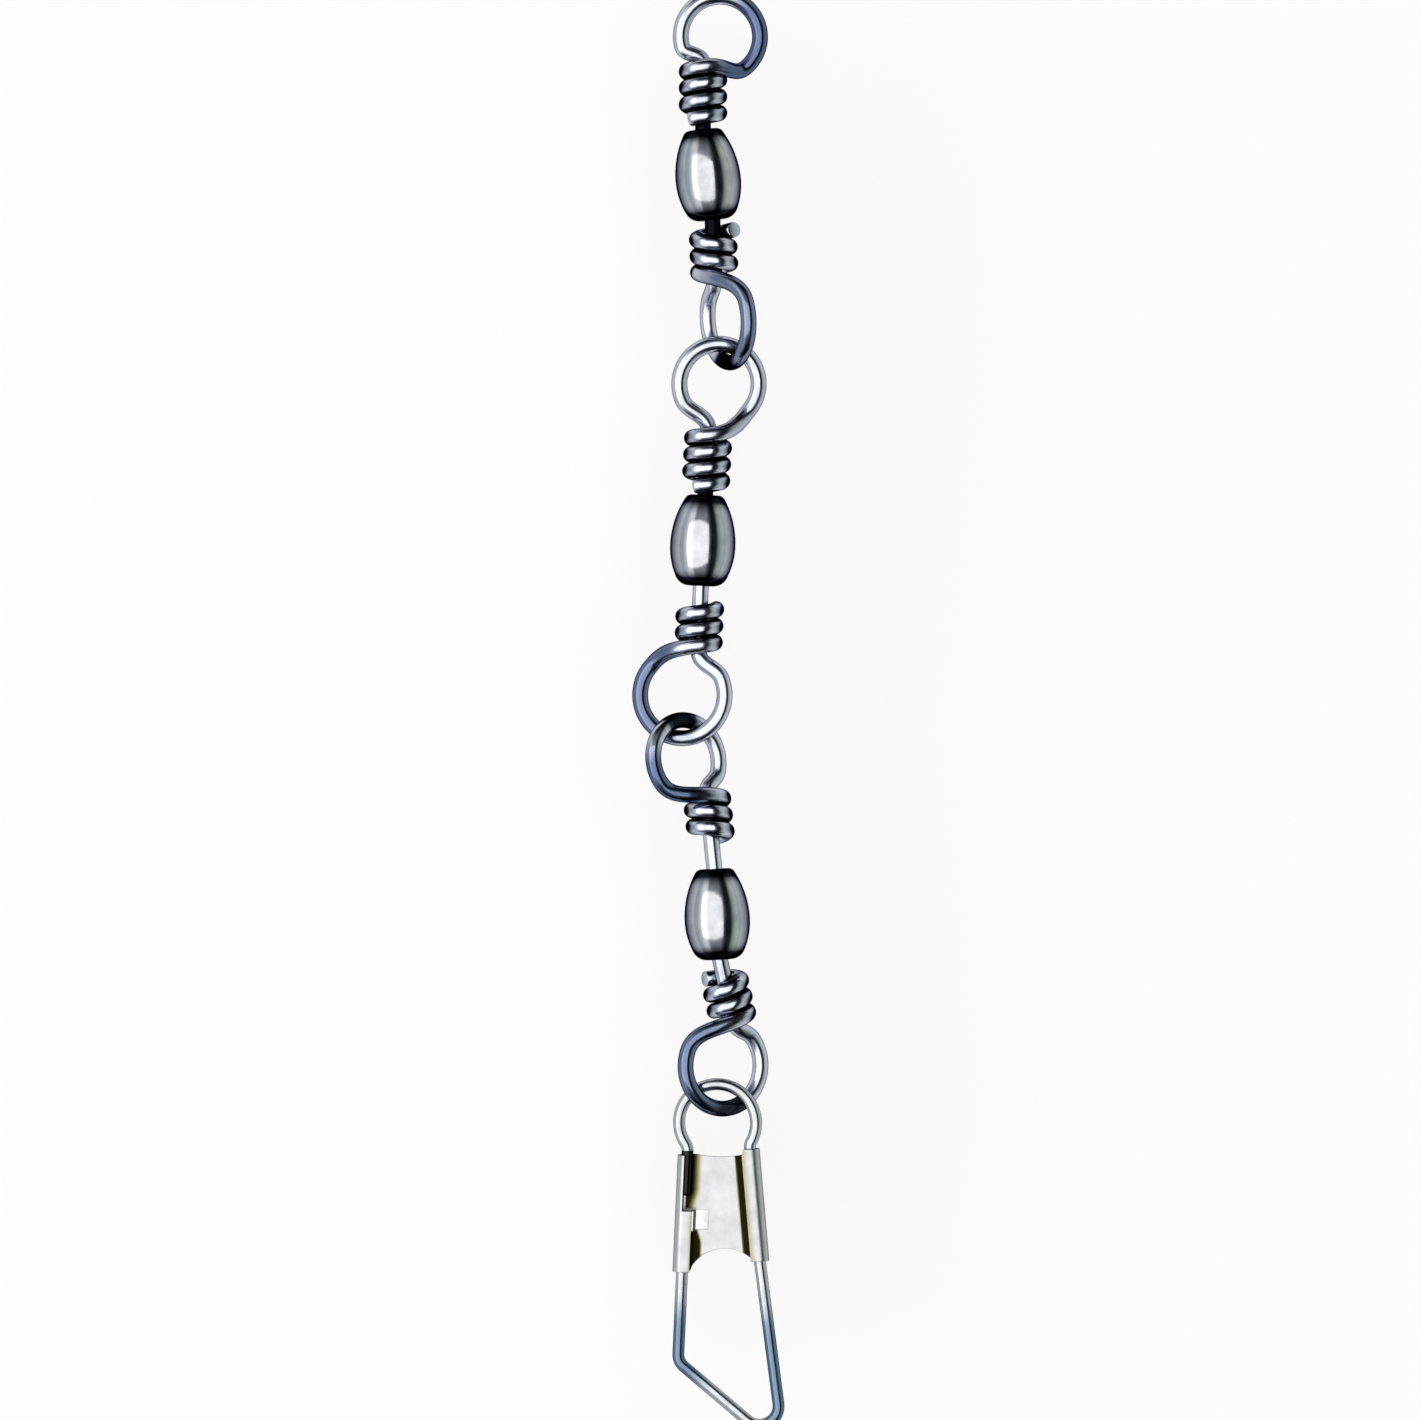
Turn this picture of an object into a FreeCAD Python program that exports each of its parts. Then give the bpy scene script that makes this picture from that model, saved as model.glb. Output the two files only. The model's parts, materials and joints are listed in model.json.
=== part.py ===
"""Fishing snap swivel: three barrel swivels linked eye to eye, with a safety snap at the far end.

Millimetres. The chain lies on a flat surface, +Z up, with the line eye at +Y and the snap at -Y.
The origin is the centre of the underside of the whole chain's bounding box.
"""
import FreeCAD, Part
import math
import os

import Sketcher

from FreeCAD import Matrix, Placement, Rotation, Vector

# Driving sizes in millimetres and degrees. Each one becomes a named cell of the spreadsheet.
SIZES = {
    # Swivel wire and the turns that lock each eye
    "wire_dia": 1.0,
    "wrap_clearance": 0.03,
    "upper_loop_radius": 2.5,
    "lower_loop_radius": 2.7,
    "stem_run_out": 0.15,
    "link_clearance": 0.04,
    # Head that holds each eye inside the barrel
    "head_dia": 1.6,
    "head_length": 0.8,
    "head_rounding": 0.25,
    "head_clearance": 0.15,
    # Barrel
    "barrel_dia": 4.1,
    "barrel_length": 5.7,
    "barrel_belly_height": 2.5,
    "barrel_top_dia": 2.2,
    "barrel_foot_dia": 2.6,
    "barrel_top_rounding": 0.45,
    "barrel_foot_rounding": 0.95,
    "barrel_wall": 0.45,
    "barrel_end_wall": 0.45,
    "hole_clearance": 0.15,
    # Wire of the safety snap
    "snap_wire_dia": 0.75,
    "ring_radius": 2.42,
    "neck_bend": 0.7,
    "left_leg_offset": 1.9,
    "right_leg_offset": 2.04,
    "left_lean": 2.6,
    "right_lean": 5.0,
    "leg_lean": 7.45,
    "leg_bend": 6.0,
    "ring_end_depth": 4.6,
    "arm_tip_depth": 7.9,
    "knee_depth": 15.1,
    "knee_bend": 1.0,
    "corner_depth": 20.7,
    "corner_bend": 1.2,
    "knuckle_clearance": 0.03,
    # Folded sheet plate
    "sheet_thickness": 0.2,
    "fold_clearance": 0.03,
    "left_top_depth": 2.05,
    "right_top_depth": 1.6,
    "left_foot_depth": 9.4,
    "right_foot_depth": 8.65,
    "mouth_depth": 2.2,
    "mouth_offset": 0.1,
    "mouth_side_depth": 2.05,
    "arch_depth": 8.03,
    "arch_top_offset": 0.9,
    "arch_side_depth": 9.2,
    "left_lip": 0.5,
    "right_lip": 0.5,
    "slot_lip": -0.1,
    "crimp_top_depth": 5.55,
    "crimp_length": 1.25,
    "crimp_reach": 1.0,
}

# Each eye: visible neck, turns, height of the loop's centre over its top turn, sideways offset
# of the loop, angles below its centre where the round part starts (shoulder) and ends (close),
# and length of the cut end. Then how it lies: side of the offset, swing, roll and pitch.
EYES = {
    "swivel1_upper": {
        "neck": 0.2, "turns": 3.1, "rise": 1.92, "offset": 1.1, "shoulder": 15.0, "close": 50.0,
        "cut_end": 0.35, "side": 1, "swing": 0.0, "roll": 8.0, "pitch": 0.0,
    },
    "swivel1_lower": {
        "neck": 0.25, "turns": 2.5, "rise": 2.85, "offset": 1.6, "shoulder": 20.0, "close": 25.0,
        "cut_end": 0.8, "side": -1, "swing": 2.0, "roll": 62.0, "pitch": -4.0,
    },
    "swivel2_upper": {
        "neck": 0.1, "turns": 3.1, "rise": 3.18, "offset": 0.5, "shoulder": 28.0, "close": 35.0,
        "cut_end": 0.2, "side": 1, "swing": -3.0, "roll": 8.0, "pitch": 3.0,
    },
    "swivel2_lower": {
        "neck": 0.9, "turns": 2.3, "rise": 3.08, "offset": 0.9, "shoulder": 25.0, "close": 35.0,
        "cut_end": 0.2, "side": 1, "swing": -2.3, "roll": 12.0, "pitch": 0.0,
    },
    "swivel3_upper": {
        "neck": 1.5, "turns": 2.4, "rise": 2.45, "offset": 1.3, "shoulder": 20.0, "close": 35.0,
        "cut_end": 0.2, "side": -1, "swing": 6.0, "roll": 36.0, "pitch": -5.0,
    },
    "swivel3_lower": {
        "neck": 0.7, "turns": 2.5, "rise": 2.7, "offset": 1.4, "shoulder": 25.0, "close": 35.0,
        "cut_end": 0.8, "side": 1, "swing": 12.3, "roll": -29.0, "pitch": -7.0,
    },
}

# Direction of each barrel and link from the +Y axis, and how the snap leans on the surface.
LAYOUT = {
    "swivel1_lean": 6.4,
    "swivel2_lean": -2.8,
    "swivel3_lean": 3.1,
    "link1_lean": -8.0,
    "link2_lean": 3.2,
    "link3_lean": -5.5,
    "snap_lean": 0.0,
    "snap_roll": -6.5,
    "snap_pitch": 5.1,
}

SWIVELS = ("swivel1", "swivel2", "swivel3")

# Two places this close are the same place.
TOUCH = 1e-6

# Handles of the free curves of the eye wire, as shares of the span of each curve.
OUTER_HANDLE = 0.45
LOOP_HANDLE = 0.35

# The search for the spacing of two linked loops: points on each loop, steps and halvings.
LINK_POINTS = 60
LINK_STEPS = 25
LINK_HALVINGS = 8


def named_sizes():
    """All driving sizes as one flat set of names: the sizes, the six eyes and the layout."""
    names = dict(SIZES)
    for eye, values in EYES.items():
        for field, value in values.items():
            names[f"{eye}_{field}"] = value
    names.update(LAYOUT)
    return names


def fill_sheet(doc):
    """Write every named size into the spreadsheet as a plain number with an alias."""
    sheet = doc.addObject("Spreadsheet::Sheet", "sizes")
    for row, (name, value) in enumerate(named_sizes().items(), start=1):
        sheet.set(f"A{row}", name)
        sheet.set(f"B{row}", str(value))
        sheet.setAlias(f"B{row}", name)
    doc.recompute()
    return sheet


def bind(thing, **expressions):
    """Bind properties of one object to cells of the spreadsheet."""
    for name, expression in expressions.items():
        thing.setExpression(name, expression)


class Sketch:
    """A closed outline on one of a body's own origin planes, with its points tied to the sheet."""

    def __init__(self, body, name, plane, offset=0.0):
        self.item = body.newObject("Sketcher::SketchObject", name)
        planes = {part.Role: part for part in body.Origin.OriginFeatures}
        self.item.AttachmentSupport = [(planes[plane], "")]
        self.item.MapMode = "FlatFace"
        self.item.AttachmentOffset = Placement(Vector(0, 0, offset), Rotation())
        self.edges = []

    def line(self, start, finish):
        """A straight edge between two points of the sketch."""
        shape = Part.LineSegment(Vector(*start, 0), Vector(*finish, 0))
        self.edges.append(self.item.addGeometry(shape, False))
        return self.edges[-1]

    def arc(self, start, middle, finish):
        """A round edge through three points, which keeps their direction of travel."""
        points = [Vector(*point, 0) for point in (start, middle, finish)]
        edge = Part.Arc(*points)
        self.edges.append(self.item.addGeometry(edge, False))
        return self.edges[-1]

    def close(self):
        """Join each edge to the next one and the last to the first."""
        ends = [self.ends(edge) for edge in self.edges]
        for index, edge in enumerate(self.edges):
            following = (index + 1) % len(self.edges)
            near, far = nearest_ends(ends[index], ends[following])
            joint = Sketcher.Constraint("Coincident", edge, near, self.edges[following], far)
            self.item.addConstraint(joint)

    def ends(self, edge):
        """Both end points of an edge, under the numbers that constraints use for them."""
        return {1: self.item.getPoint(edge, 1), 2: self.item.getPoint(edge, 2)}

    def pin(self, edge, point, x=None, y=None):
        """Hold one point of an edge at sheet expressions for x, y or both."""
        place = self.item.getPoint(edge, point)
        for kind, value, expression in (("DistanceX", place.x, x), ("DistanceY", place.y, y)):
            if expression is not None:
                constraint = Sketcher.Constraint(kind, -1, 1, edge, point, value)
                index = self.item.addConstraint(constraint)
                self.item.setExpression(f"Constraints[{index}]", expression)


def nearest_ends(first, second):
    """Which end of one edge meets which end of the next."""
    pairs = [(near, far) for near in first for far in second]
    return min(pairs, key=lambda pair: (first[pair[0]] - second[pair[1]]).Length)


def sweep_wire(doc, name, centreline, dia_cell, start, heading):
    """Round wire along a centreline: its path, its section and the sweep of one along the other."""
    path = doc.addObject("Part::Feature", f"{name}_centreline")
    path.Shape = centreline
    section = doc.addObject("Part::Circle", f"{name}_section")
    bind(section, Radius=f"sizes.{dia_cell} / 2")
    section.Placement = Placement(start, Rotation(Vector(0, 0, 1), heading))
    wire = doc.addObject("Part::Sweep", f"{name}_wire")
    wire.Sections = [section]
    wire.Spine = (path, [f"Edge{index + 1}" for index in range(len(centreline.Edges))])
    wire.Solid = True
    wire.Frenet = False
    return wire


def span(start, leave, finish, arrive, leave_handle, arrive_handle):
    """Cubic curve that leaves one point and arrives at another in the given directions."""
    reach = (finish - start).Length
    curve = Part.BezierCurve()
    first = start + leave * reach * leave_handle
    second = finish - arrive * reach * arrive_handle
    curve.setPoles([start, first, second, finish])
    return curve.toShape()


class Eye:
    """One swivel eye. In its own frame the stem runs along +Y through the barrel's end wall,
    with the origin in the middle of that wall and the loop flat in the XY plane."""

    def __init__(self, sheet, name):
        self.name = name
        for field in EYES[name]:
            setattr(self, field, getattr(sheet, f"{name}_{field}"))
        self.is_upper = name.endswith("upper")
        self.radius = sheet.upper_loop_radius if self.is_upper else sheet.lower_loop_radius
        self.wrap_radius = sheet.wire_dia + sheet.wrap_clearance
        self.wrap_pitch = self.wrap_radius
        self.head_top = -sheet.barrel_end_wall / 2 - sheet.head_clearance
        wrap_foot = sheet.barrel_end_wall / 2 + self.neck + sheet.wire_dia / 2
        self.wrap_top = wrap_foot + self.turns * self.wrap_pitch
        self.stem_end = self.wrap_top + sheet.stem_run_out
        self.centre = Vector(self.side * self.offset, self.wrap_top + self.rise, 0)
        self.start = math.radians(180 + self.shoulder)
        self.finish = math.radians(-self.close)

    def on_loop(self, angle):
        """Point of the loop at an angle from the offset side, counted towards the top."""
        across = self.side * self.radius * math.cos(angle)
        return self.centre + Vector(across, self.radius * math.sin(angle), 0)

    def along_loop(self, angle):
        """Direction of travel on the loop, over the top and down the offset side."""
        return Vector(self.side * math.sin(angle), -math.cos(angle), 0)

    def centreline(self):
        """The bent wire: stem, shoulder, round loop, return, turns round the stem, cut end."""
        stem_end = Vector(0, self.stem_end, 0)
        crossing = Vector(0, self.wrap_top, self.wrap_radius)
        fall = self.wrap_pitch / (2 * math.pi * self.wrap_radius)
        into_turns = Vector(-self.side, -fall, 0).normalize()
        start, finish = self.on_loop(self.start), self.on_loop(self.finish)
        crown = self.on_loop((self.start + self.finish) / 2)
        leave, arrive = self.along_loop(self.finish), self.along_loop(self.start)
        turns = self.turns_round_stem()
        end = turns.valueAt(turns.LastParameter)
        cut = end + turns.tangentAt(turns.LastParameter) * self.cut_end
        edges = [
            Part.LineSegment(Vector(0, self.head_top, 0), stem_end).toShape(),
            span(stem_end, Vector(0, 1, 0), start, arrive, OUTER_HANDLE, LOOP_HANDLE),
            Part.Arc(start, crown, finish).toShape(),
            span(finish, leave, crossing, into_turns, LOOP_HANDLE, OUTER_HANDLE),
            turns,
            Part.LineSegment(end, cut).toShape(),
        ]
        return Part.Wire(edges)

    def turns_round_stem(self):
        """Helix from the front crossing down towards the barrel."""
        height = self.turns * self.wrap_pitch
        helix = Part.makeHelix(self.wrap_pitch, height, self.wrap_radius, 0, self.side < 0)
        helix.Placement = Placement(
            Matrix(0, -1, 0, 0, 0, 0, -1, self.wrap_top, 1, 0, 0, 0, 0, 0, 0, 1)
        )
        return helix.Edges[0]

    def rotation(self):
        """How the eye lies: rolled about its stem, pitched, then swung on the surface."""
        swing = self.swing if self.is_upper else self.swing + 180
        flat = Rotation(Vector(0, 0, 1), swing)
        return flat * Rotation(Vector(1, 0, 0), self.pitch) * Rotation(Vector(0, 1, 0), self.roll)

    def loop_points(self):
        """Points along the round part of the loop, for the spacing of linked loops."""
        step = (self.finish - self.start) / LINK_POINTS
        return [self.on_loop(self.start + step * count) for count in range(LINK_POINTS + 1)]


def build_eye(doc, sheet, name):
    """An eye bent from one wire, with the head that keeps it in the barrel."""
    eye = Eye(sheet, name)
    wire = sweep_wire(
        doc, name, eye.centreline(), "wire_dia", Vector(0, eye.head_top, 0), Vector(0, 1, 0)
    )
    disc = doc.addObject("Part::Cylinder", f"{name}_disc")
    bind(disc, Radius="sizes.head_dia / 2", Height="sizes.head_length")
    disc.Placement = Placement(Vector(0, eye.head_top, 0), Rotation(Vector(1, 0, 0), 90))
    head = doc.addObject("Part::Fillet", f"{name}_head")
    head.Base = disc
    doc.recompute()
    rims = [index for index, edge in enumerate(disc.Shape.Edges, start=1) if is_rim(edge)]
    head.Edges = [(rim, sheet.head_rounding, sheet.head_rounding) for rim in rims]
    solid = doc.addObject("Part::Fuse", f"{name}_solid")
    solid.Base = wire
    solid.Tool = head
    solid.Label = f"{name}_eye"
    return solid


def is_rim(edge):
    """True for the round edges of a disc."""
    return isinstance(edge.Curve, Part.Circle)


def build_barrel(doc, sheet, name):
    """Hollow barrel, turned about Y: round belly, two flat ends, a hole in each end wall."""
    body = doc.addObject("PartDesign::Body", f"{name}_body")
    body.Label = f"{name}_barrel"
    top = sheet.barrel_length / 2
    belly = -top + sheet.barrel_belly_height
    hole = sheet.wire_dia / 2 + sheet.hole_clearance
    radius = sheet.barrel_dia / 2
    sketch = Sketch(body, f"{name}_outline", "XY_Plane")

    def flank(end_radius, end_height, inset, cut_height):
        """Points of the round flank between the belly and one end, on the outside or inside."""
        drop = radius - end_radius
        bend = (drop**2 + (end_height - belly) ** 2) / (2 * drop)
        reach = bend - inset
        middle = (belly + cut_height) / 2
        points = []
        for height in (belly, middle, cut_height):
            across = radius - bend + math.sqrt(reach**2 - (height - belly) ** 2)
            points.append((across, height))
        return points

    outer_up = flank(sheet.barrel_top_dia / 2, top, 0, top)
    outer_down = flank(sheet.barrel_foot_dia / 2, -top, 0, -top)
    inner_top = top - sheet.barrel_end_wall
    inner_up = flank(sheet.barrel_top_dia / 2, top, sheet.barrel_wall, inner_top)
    inner_down = flank(sheet.barrel_foot_dia / 2, -top, sheet.barrel_wall, -inner_top)

    top_face = sketch.line((hole, top), outer_up[2])
    sketch.arc(*reversed(outer_up))
    foot_arc = sketch.arc(*outer_down)
    foot_face = sketch.line(outer_down[2], (hole, -top))
    sketch.line((hole, -top), (hole, -inner_top))
    sketch.line((hole, -inner_top), inner_down[2])
    inner_arc = sketch.arc(*reversed(inner_down))
    sketch.arc(*inner_up)
    inner_face = sketch.line(inner_up[2], (hole, inner_top))
    sketch.line((hole, inner_top), (hole, top))
    sketch.close()
    half = "sizes.barrel_length / 2"
    bore = "sizes.wire_dia / 2 + sizes.hole_clearance"
    sketch.pin(top_face, 1, bore, half)
    sketch.pin(top_face, 2, "sizes.barrel_top_dia / 2", half)
    sketch.pin(foot_face, 1, "sizes.barrel_foot_dia / 2", f"-{half}")
    sketch.pin(foot_face, 2, bore, f"-{half}")
    sketch.pin(inner_face, 2, bore, f"{half} - sizes.barrel_end_wall")
    revolution = body.newObject("PartDesign::Revolution", f"{name}_turning")
    revolution.Profile = sketch.item
    revolution.ReferenceAxis = (sketch.item, ["V_Axis"])
    revolution.Angle = 360
    doc.recompute()
    turned = revolution
    for end, place in (("top", top), ("foot", -top)):
        rim = rim_name(turned.Shape, place)
        rounding = body.newObject("PartDesign::Fillet", f"{name}_{end}_rounding")
        rounding.Base = (turned, [rim])
        bind(rounding, Radius=f"sizes.barrel_{end}_rounding")
        doc.recompute()
        turned = rounding
    return body


def rim_name(shape, height):
    """Name of the widest round edge of a turned shape at one height along its axis."""
    rims = [
        (edge.Curve.Radius, index)
        for index, edge in enumerate(shape.Edges, start=1)
        if is_rim(edge) and abs(edge.Curve.Center.y - height) < TOUCH
    ]
    return f"Edge{max(rims)[1]}"


class SnapFrame:
    """Lines of the safety snap in its own frame: ring centre at the origin, bow towards -Y."""

    def __init__(self, sheet):
        self.sheet = sheet
        self.wire = sheet.snap_wire_dia
        left = Vector(-sheet.left_leg_offset, -sheet.left_top_depth, 0)
        right = Vector(sheet.right_leg_offset, -sheet.right_top_depth, 0)
        self.left_line = (left, self.leaning(-sheet.left_lean))
        self.right_line = (right, self.leaning(sheet.right_lean))
        self.hip = self.at_depth(self.right_line, sheet.right_foot_depth)
        self.leg_line = (self.hip, self.leaning(sheet.leg_lean))
        self.knee = self.at_depth(self.left_line, sheet.knee_depth)
        self.corner = self.at_depth(self.leg_line, sheet.corner_depth)
        self.pivot = self.corner - self.leg_line[1] * self.bend_reach()

    def leaning(self, lean):
        """Unit direction down the snap, leaning sideways from -Y."""
        turn = math.radians(lean)
        return Vector(math.sin(turn), -math.cos(turn), 0)

    def at_depth(self, line, depth):
        """Point of a leg's line at a depth below the ring's centre."""
        origin, heading = line
        return origin + heading * ((-depth - origin.y) / heading.y)

    def bend_reach(self):
        """Length that the bow's corner bend takes from each of its two straight runs."""
        along = (self.knee - self.corner).normalize()
        angle = along.getAngle(self.leg_line[1] * -1)
        return self.sheet.corner_bend / math.tan(angle / 2)

    def neck(self, line, outward):
        """Bend from a leg into the ring: its end on the leg, its middle and its end on the ring."""
        origin, heading = line
        bend = self.sheet.neck_bend
        normal = Vector(-heading.y, heading.x, 0) * outward
        base = origin + normal * bend
        along = heading * base.dot(heading)
        across = (base - along).Length
        far = self.sheet.ring_radius + bend
        centre = base - along + heading * math.sqrt(far**2 - across**2)
        on_leg = centre - normal * bend
        on_ring = centre * (self.sheet.ring_radius / far)
        middle = (on_leg + on_ring) * 0.5 - centre
        return on_leg, centre + middle.normalize() * bend, on_ring

    def main_centreline(self):
        """Ring and right leg: from the end in the left fold, round the ring, down to the bow."""
        left = self.neck(self.left_line, -1)
        right = self.neck(self.right_line, 1)
        crown = Vector(0, self.sheet.ring_radius, 0)
        end = self.at_depth(self.left_line, self.sheet.ring_end_depth)
        gap = self.wire / 2 + self.sheet.knuckle_clearance
        hip = rounded(right[0], self.hip, self.pivot, self.sheet.leg_bend)
        return Part.Wire(
            [
                Part.LineSegment(end, left[0]).toShape(),
                Part.Arc(*left).toShape(),
                Part.Arc(left[2], crown, right[2]).toShape(),
                Part.Arc(right[2], right[1], right[0]).toShape(),
                Part.LineSegment(right[0], hip[0]).toShape(),
                Part.Arc(*hip).toShape(),
                Part.LineSegment(hip[2], self.pivot - self.leg_line[1] * gap).toShape(),
            ]
        )

    def arm_centreline(self):
        """Free arm: from the bow's corner bend up to the knee and on to the tip in the fold."""
        tip = self.at_depth(self.left_line, self.sheet.arm_tip_depth)
        corner = rounded(self.pivot, self.corner, self.knee, self.sheet.corner_bend)
        knee = rounded(self.corner, self.knee, tip, self.sheet.knee_bend)
        return Part.Wire(
            [
                Part.Arc(*corner).toShape(),
                Part.LineSegment(corner[2], knee[0]).toShape(),
                Part.Arc(*knee).toShape(),
                Part.LineSegment(knee[2], tip).toShape(),
            ]
        )


def rounded(before, vertex, after, radius):
    """Bend at a vertex: where it starts, its middle and where it ends."""
    back = (before - vertex).normalize()
    onward = (after - vertex).normalize()
    half = back.getAngle(onward) / 2
    reach = radius / math.tan(half)
    centre = vertex + (back + onward).normalize() * (radius / math.sin(half))
    middle = centre + (vertex - centre).normalize() * radius
    return vertex + back * reach, middle, vertex + onward * reach


def build_snap_wire(doc, sheet):
    """Fixed part of the snap's wire: the ring and the long right leg."""
    frame = SnapFrame(sheet)
    centreline = frame.main_centreline()
    start = frame.at_depth(frame.left_line, sheet.ring_end_depth)
    wire = sweep_wire(doc, "snap_ring", centreline, "snap_wire_dia", start, frame.left_line[1])
    wire.Label = "snap_wire"
    return wire


def build_snap_arm(doc, sheet):
    """Free arm of the snap's wire, with a ball where it flexes at the bow's corner."""
    frame = SnapFrame(sheet)
    centreline = frame.arm_centreline()
    heading = frame.leg_line[1]
    wire = sweep_wire(doc, "arm", centreline, "snap_wire_dia", frame.pivot, heading)
    ball = doc.addObject("Part::Sphere", "arm_ball")
    bind(ball, Radius="sizes.snap_wire_dia / 2")
    ball.Placement = Placement(frame.pivot, Rotation(Vector(0, 0, 1), heading))
    arm = doc.addObject("Part::Fuse", "arm_solid")
    arm.Base = wire
    arm.Tool = ball
    arm.Label = "snap_arm"
    return arm


def fold_section(body, sheet, name, depth):
    """Section of the folded sheet at one depth: panel, and a lip rolled over the wire each side."""
    frame = SnapFrame(sheet)
    left = frame.at_depth(frame.left_line, depth).x
    right = frame.at_depth(frame.right_line, depth).x
    inner = sheet.snap_wire_dia / 2 + sheet.fold_clearance
    outer = inner + sheet.sheet_thickness
    left_end, right_end = left + sheet.left_lip, right - sheet.right_lip
    sketch = Sketch(body, name, "XZ_Plane", depth)
    back = sketch.line((left, -outer), (right, -outer))
    sketch.arc((right, -outer), (right + outer, 0), (right, outer))
    sketch.line((right, outer), (right_end, outer))
    right_lip = sketch.line((right_end, outer), (right_end, inner))
    sketch.line((right_end, inner), (right, inner))
    sketch.arc((right, inner), (right + inner, 0), (right, -inner))
    panel = sketch.line((right, -inner), (left, -inner))
    sketch.arc((left, -inner), (left - inner, 0), (left, inner))
    sketch.line((left, inner), (left_end, inner))
    left_lip = sketch.line((left_end, inner), (left_end, outer))
    sketch.line((left_end, outer), (left, outer))
    sketch.arc((left, outer), (left - outer, 0), (left, -outer))
    sketch.close()
    inside = "sizes.snap_wire_dia / 2 + sizes.fold_clearance"
    outside = f"{inside} + sizes.sheet_thickness"
    sketch.pin(back, 1, None, f"-({outside})")
    sketch.pin(panel, 1, None, f"-({inside})")
    sketch.pin(left_lip, 1, None, inside)
    sketch.pin(left_lip, 2, None, outside)
    sketch.pin(right_lip, 1, None, outside)
    sketch.pin(right_lip, 2, None, inside)
    return sketch.item


def cut_through(body, sketch, name, length, upward=False):
    """Cut an outline out of the sheet, through both layers or only upwards from the wire's plane."""
    pocket = body.newObject("PartDesign::Pocket", name)
    pocket.Profile = sketch.item
    pocket.Length = length
    pocket.Midplane = not upward
    pocket.Reversed = upward
    return pocket


def outline(body, name, points):
    """A straight-sided outline in the plane of the snap's wire."""
    sketch = Sketch(body, name, "XY_Plane")
    for index, point in enumerate(points):
        sketch.line(point, points[(index + 1) % len(points)])
    sketch.close()
    return sketch


def build_plate(doc, sheet):
    """Sheet folded over both legs, with a concave mouth, an arched foot, a slot and a crimp."""
    body = doc.addObject("PartDesign::Body", "plate_body")
    body.Label = "snap_plate"
    frame = SnapFrame(sheet)
    inner = sheet.snap_wire_dia / 2 + sheet.fold_clearance
    outer = inner + sheet.sheet_thickness
    clear = 4 * outer
    top = min(sheet.left_top_depth, sheet.right_top_depth)
    foot = max(sheet.left_foot_depth, sheet.right_foot_depth)
    loft = body.newObject("PartDesign::AdditiveLoft", "folded_sheet")
    loft.Profile = fold_section(body, sheet, "top_section", top)
    loft.Sections = [fold_section(body, sheet, "foot_section", foot)]
    loft.Ruled = True
    doc.recompute()

    wide = 2 * sheet.right_leg_offset + sheet.ring_radius
    left_top = outline(
        body,
        "left_top",
        [(-wide, 0), (0, 0), (0, -sheet.left_top_depth), (-wide, -sheet.left_top_depth)],
    )
    cut_through(body, left_top, "left_top_cut", clear)

    mouth = Sketch(body, "mouth", "XY_Plane")
    mouth_left = (sheet.left_lip - sheet.left_leg_offset, -sheet.left_top_depth)
    mouth_right_x = frame.at_depth(frame.right_line, sheet.mouth_side_depth).x - sheet.right_lip
    mouth_right = (mouth_right_x, -sheet.mouth_side_depth)
    lip_top_x = frame.at_depth(frame.right_line, 0).x - sheet.right_lip
    mouth.arc(mouth_left, (sheet.mouth_offset, -sheet.mouth_depth), mouth_right)
    mouth.line(mouth_right, (lip_top_x, 0))
    mouth.line((lip_top_x, 0), (mouth_left[0], 0))
    mouth.line((mouth_left[0], 0), mouth_left)
    mouth.close()
    cut_through(body, mouth, "mouth_cut", clear)

    arch = Sketch(body, "arch", "XY_Plane")
    left_x = frame.at_depth(frame.left_line, sheet.arch_side_depth).x + sheet.left_lip
    right_x = frame.at_depth(frame.right_line, sheet.right_foot_depth).x - sheet.right_lip
    left_foot = (left_x, -sheet.arch_side_depth)
    right_foot = (right_x, -sheet.right_foot_depth)
    below = -foot - outer
    arch.arc(left_foot, (sheet.arch_top_offset, -sheet.arch_depth), right_foot)
    arch.line(right_foot, (wide, -sheet.right_foot_depth))
    arch.line((wide, -sheet.right_foot_depth), (wide, below))
    arch.line((wide, below), (left_x, below))
    arch.line((left_x, below), left_foot)
    arch.close()
    cut_through(body, arch, "arch_cut", clear)

    slot_left = frame.at_depth(frame.left_line, 0).x + sheet.slot_lip
    slot_foot = frame.at_depth(frame.left_line, sheet.crimp_top_depth).x + sheet.slot_lip
    slot_right = sheet.left_lip + outer - sheet.left_leg_offset
    slot = outline(
        body,
        "slot",
        [
            (slot_left, 0),
            (slot_right, 0),
            (slot_right, -sheet.crimp_top_depth),
            (slot_foot, -sheet.crimp_top_depth),
        ],
    )
    cut_through(body, slot, "slot_cut", clear, upward=True)

    crimp = Sketch(body, "crimp", "XZ_Plane", sheet.crimp_top_depth)
    lip = frame.at_depth(frame.left_line, sheet.crimp_top_depth).x + sheet.left_lip
    landing = lip + sheet.crimp_reach
    step = sheet.sheet_thickness * sheet.crimp_reach / (outer + inner)
    root = lip - sheet.sheet_thickness
    points = [(root, outer), (lip, outer), (landing, -inner), (landing - step, -inner)]
    points += [(lip, inner), (root, inner)]
    for index, point in enumerate(points):
        crimp.line(point, points[(index + 1) % len(points)])
    crimp.close()
    bridge = body.newObject("PartDesign::Pad", "crimp_bridge")
    bridge.Profile = crimp.item
    bind(bridge, Length="sizes.crimp_length")
    return body


def heading_on_surface(lean):
    """Unit direction down the chain, leaning sideways from -Y on the surface."""
    return Rotation(Vector(0, 0, 1), lean).multVec(Vector(0, -1, 0))


def nearest(first, second):
    """Shortest distance between two sets of points."""
    return min((a - b).Length for a in first for b in second)


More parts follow.
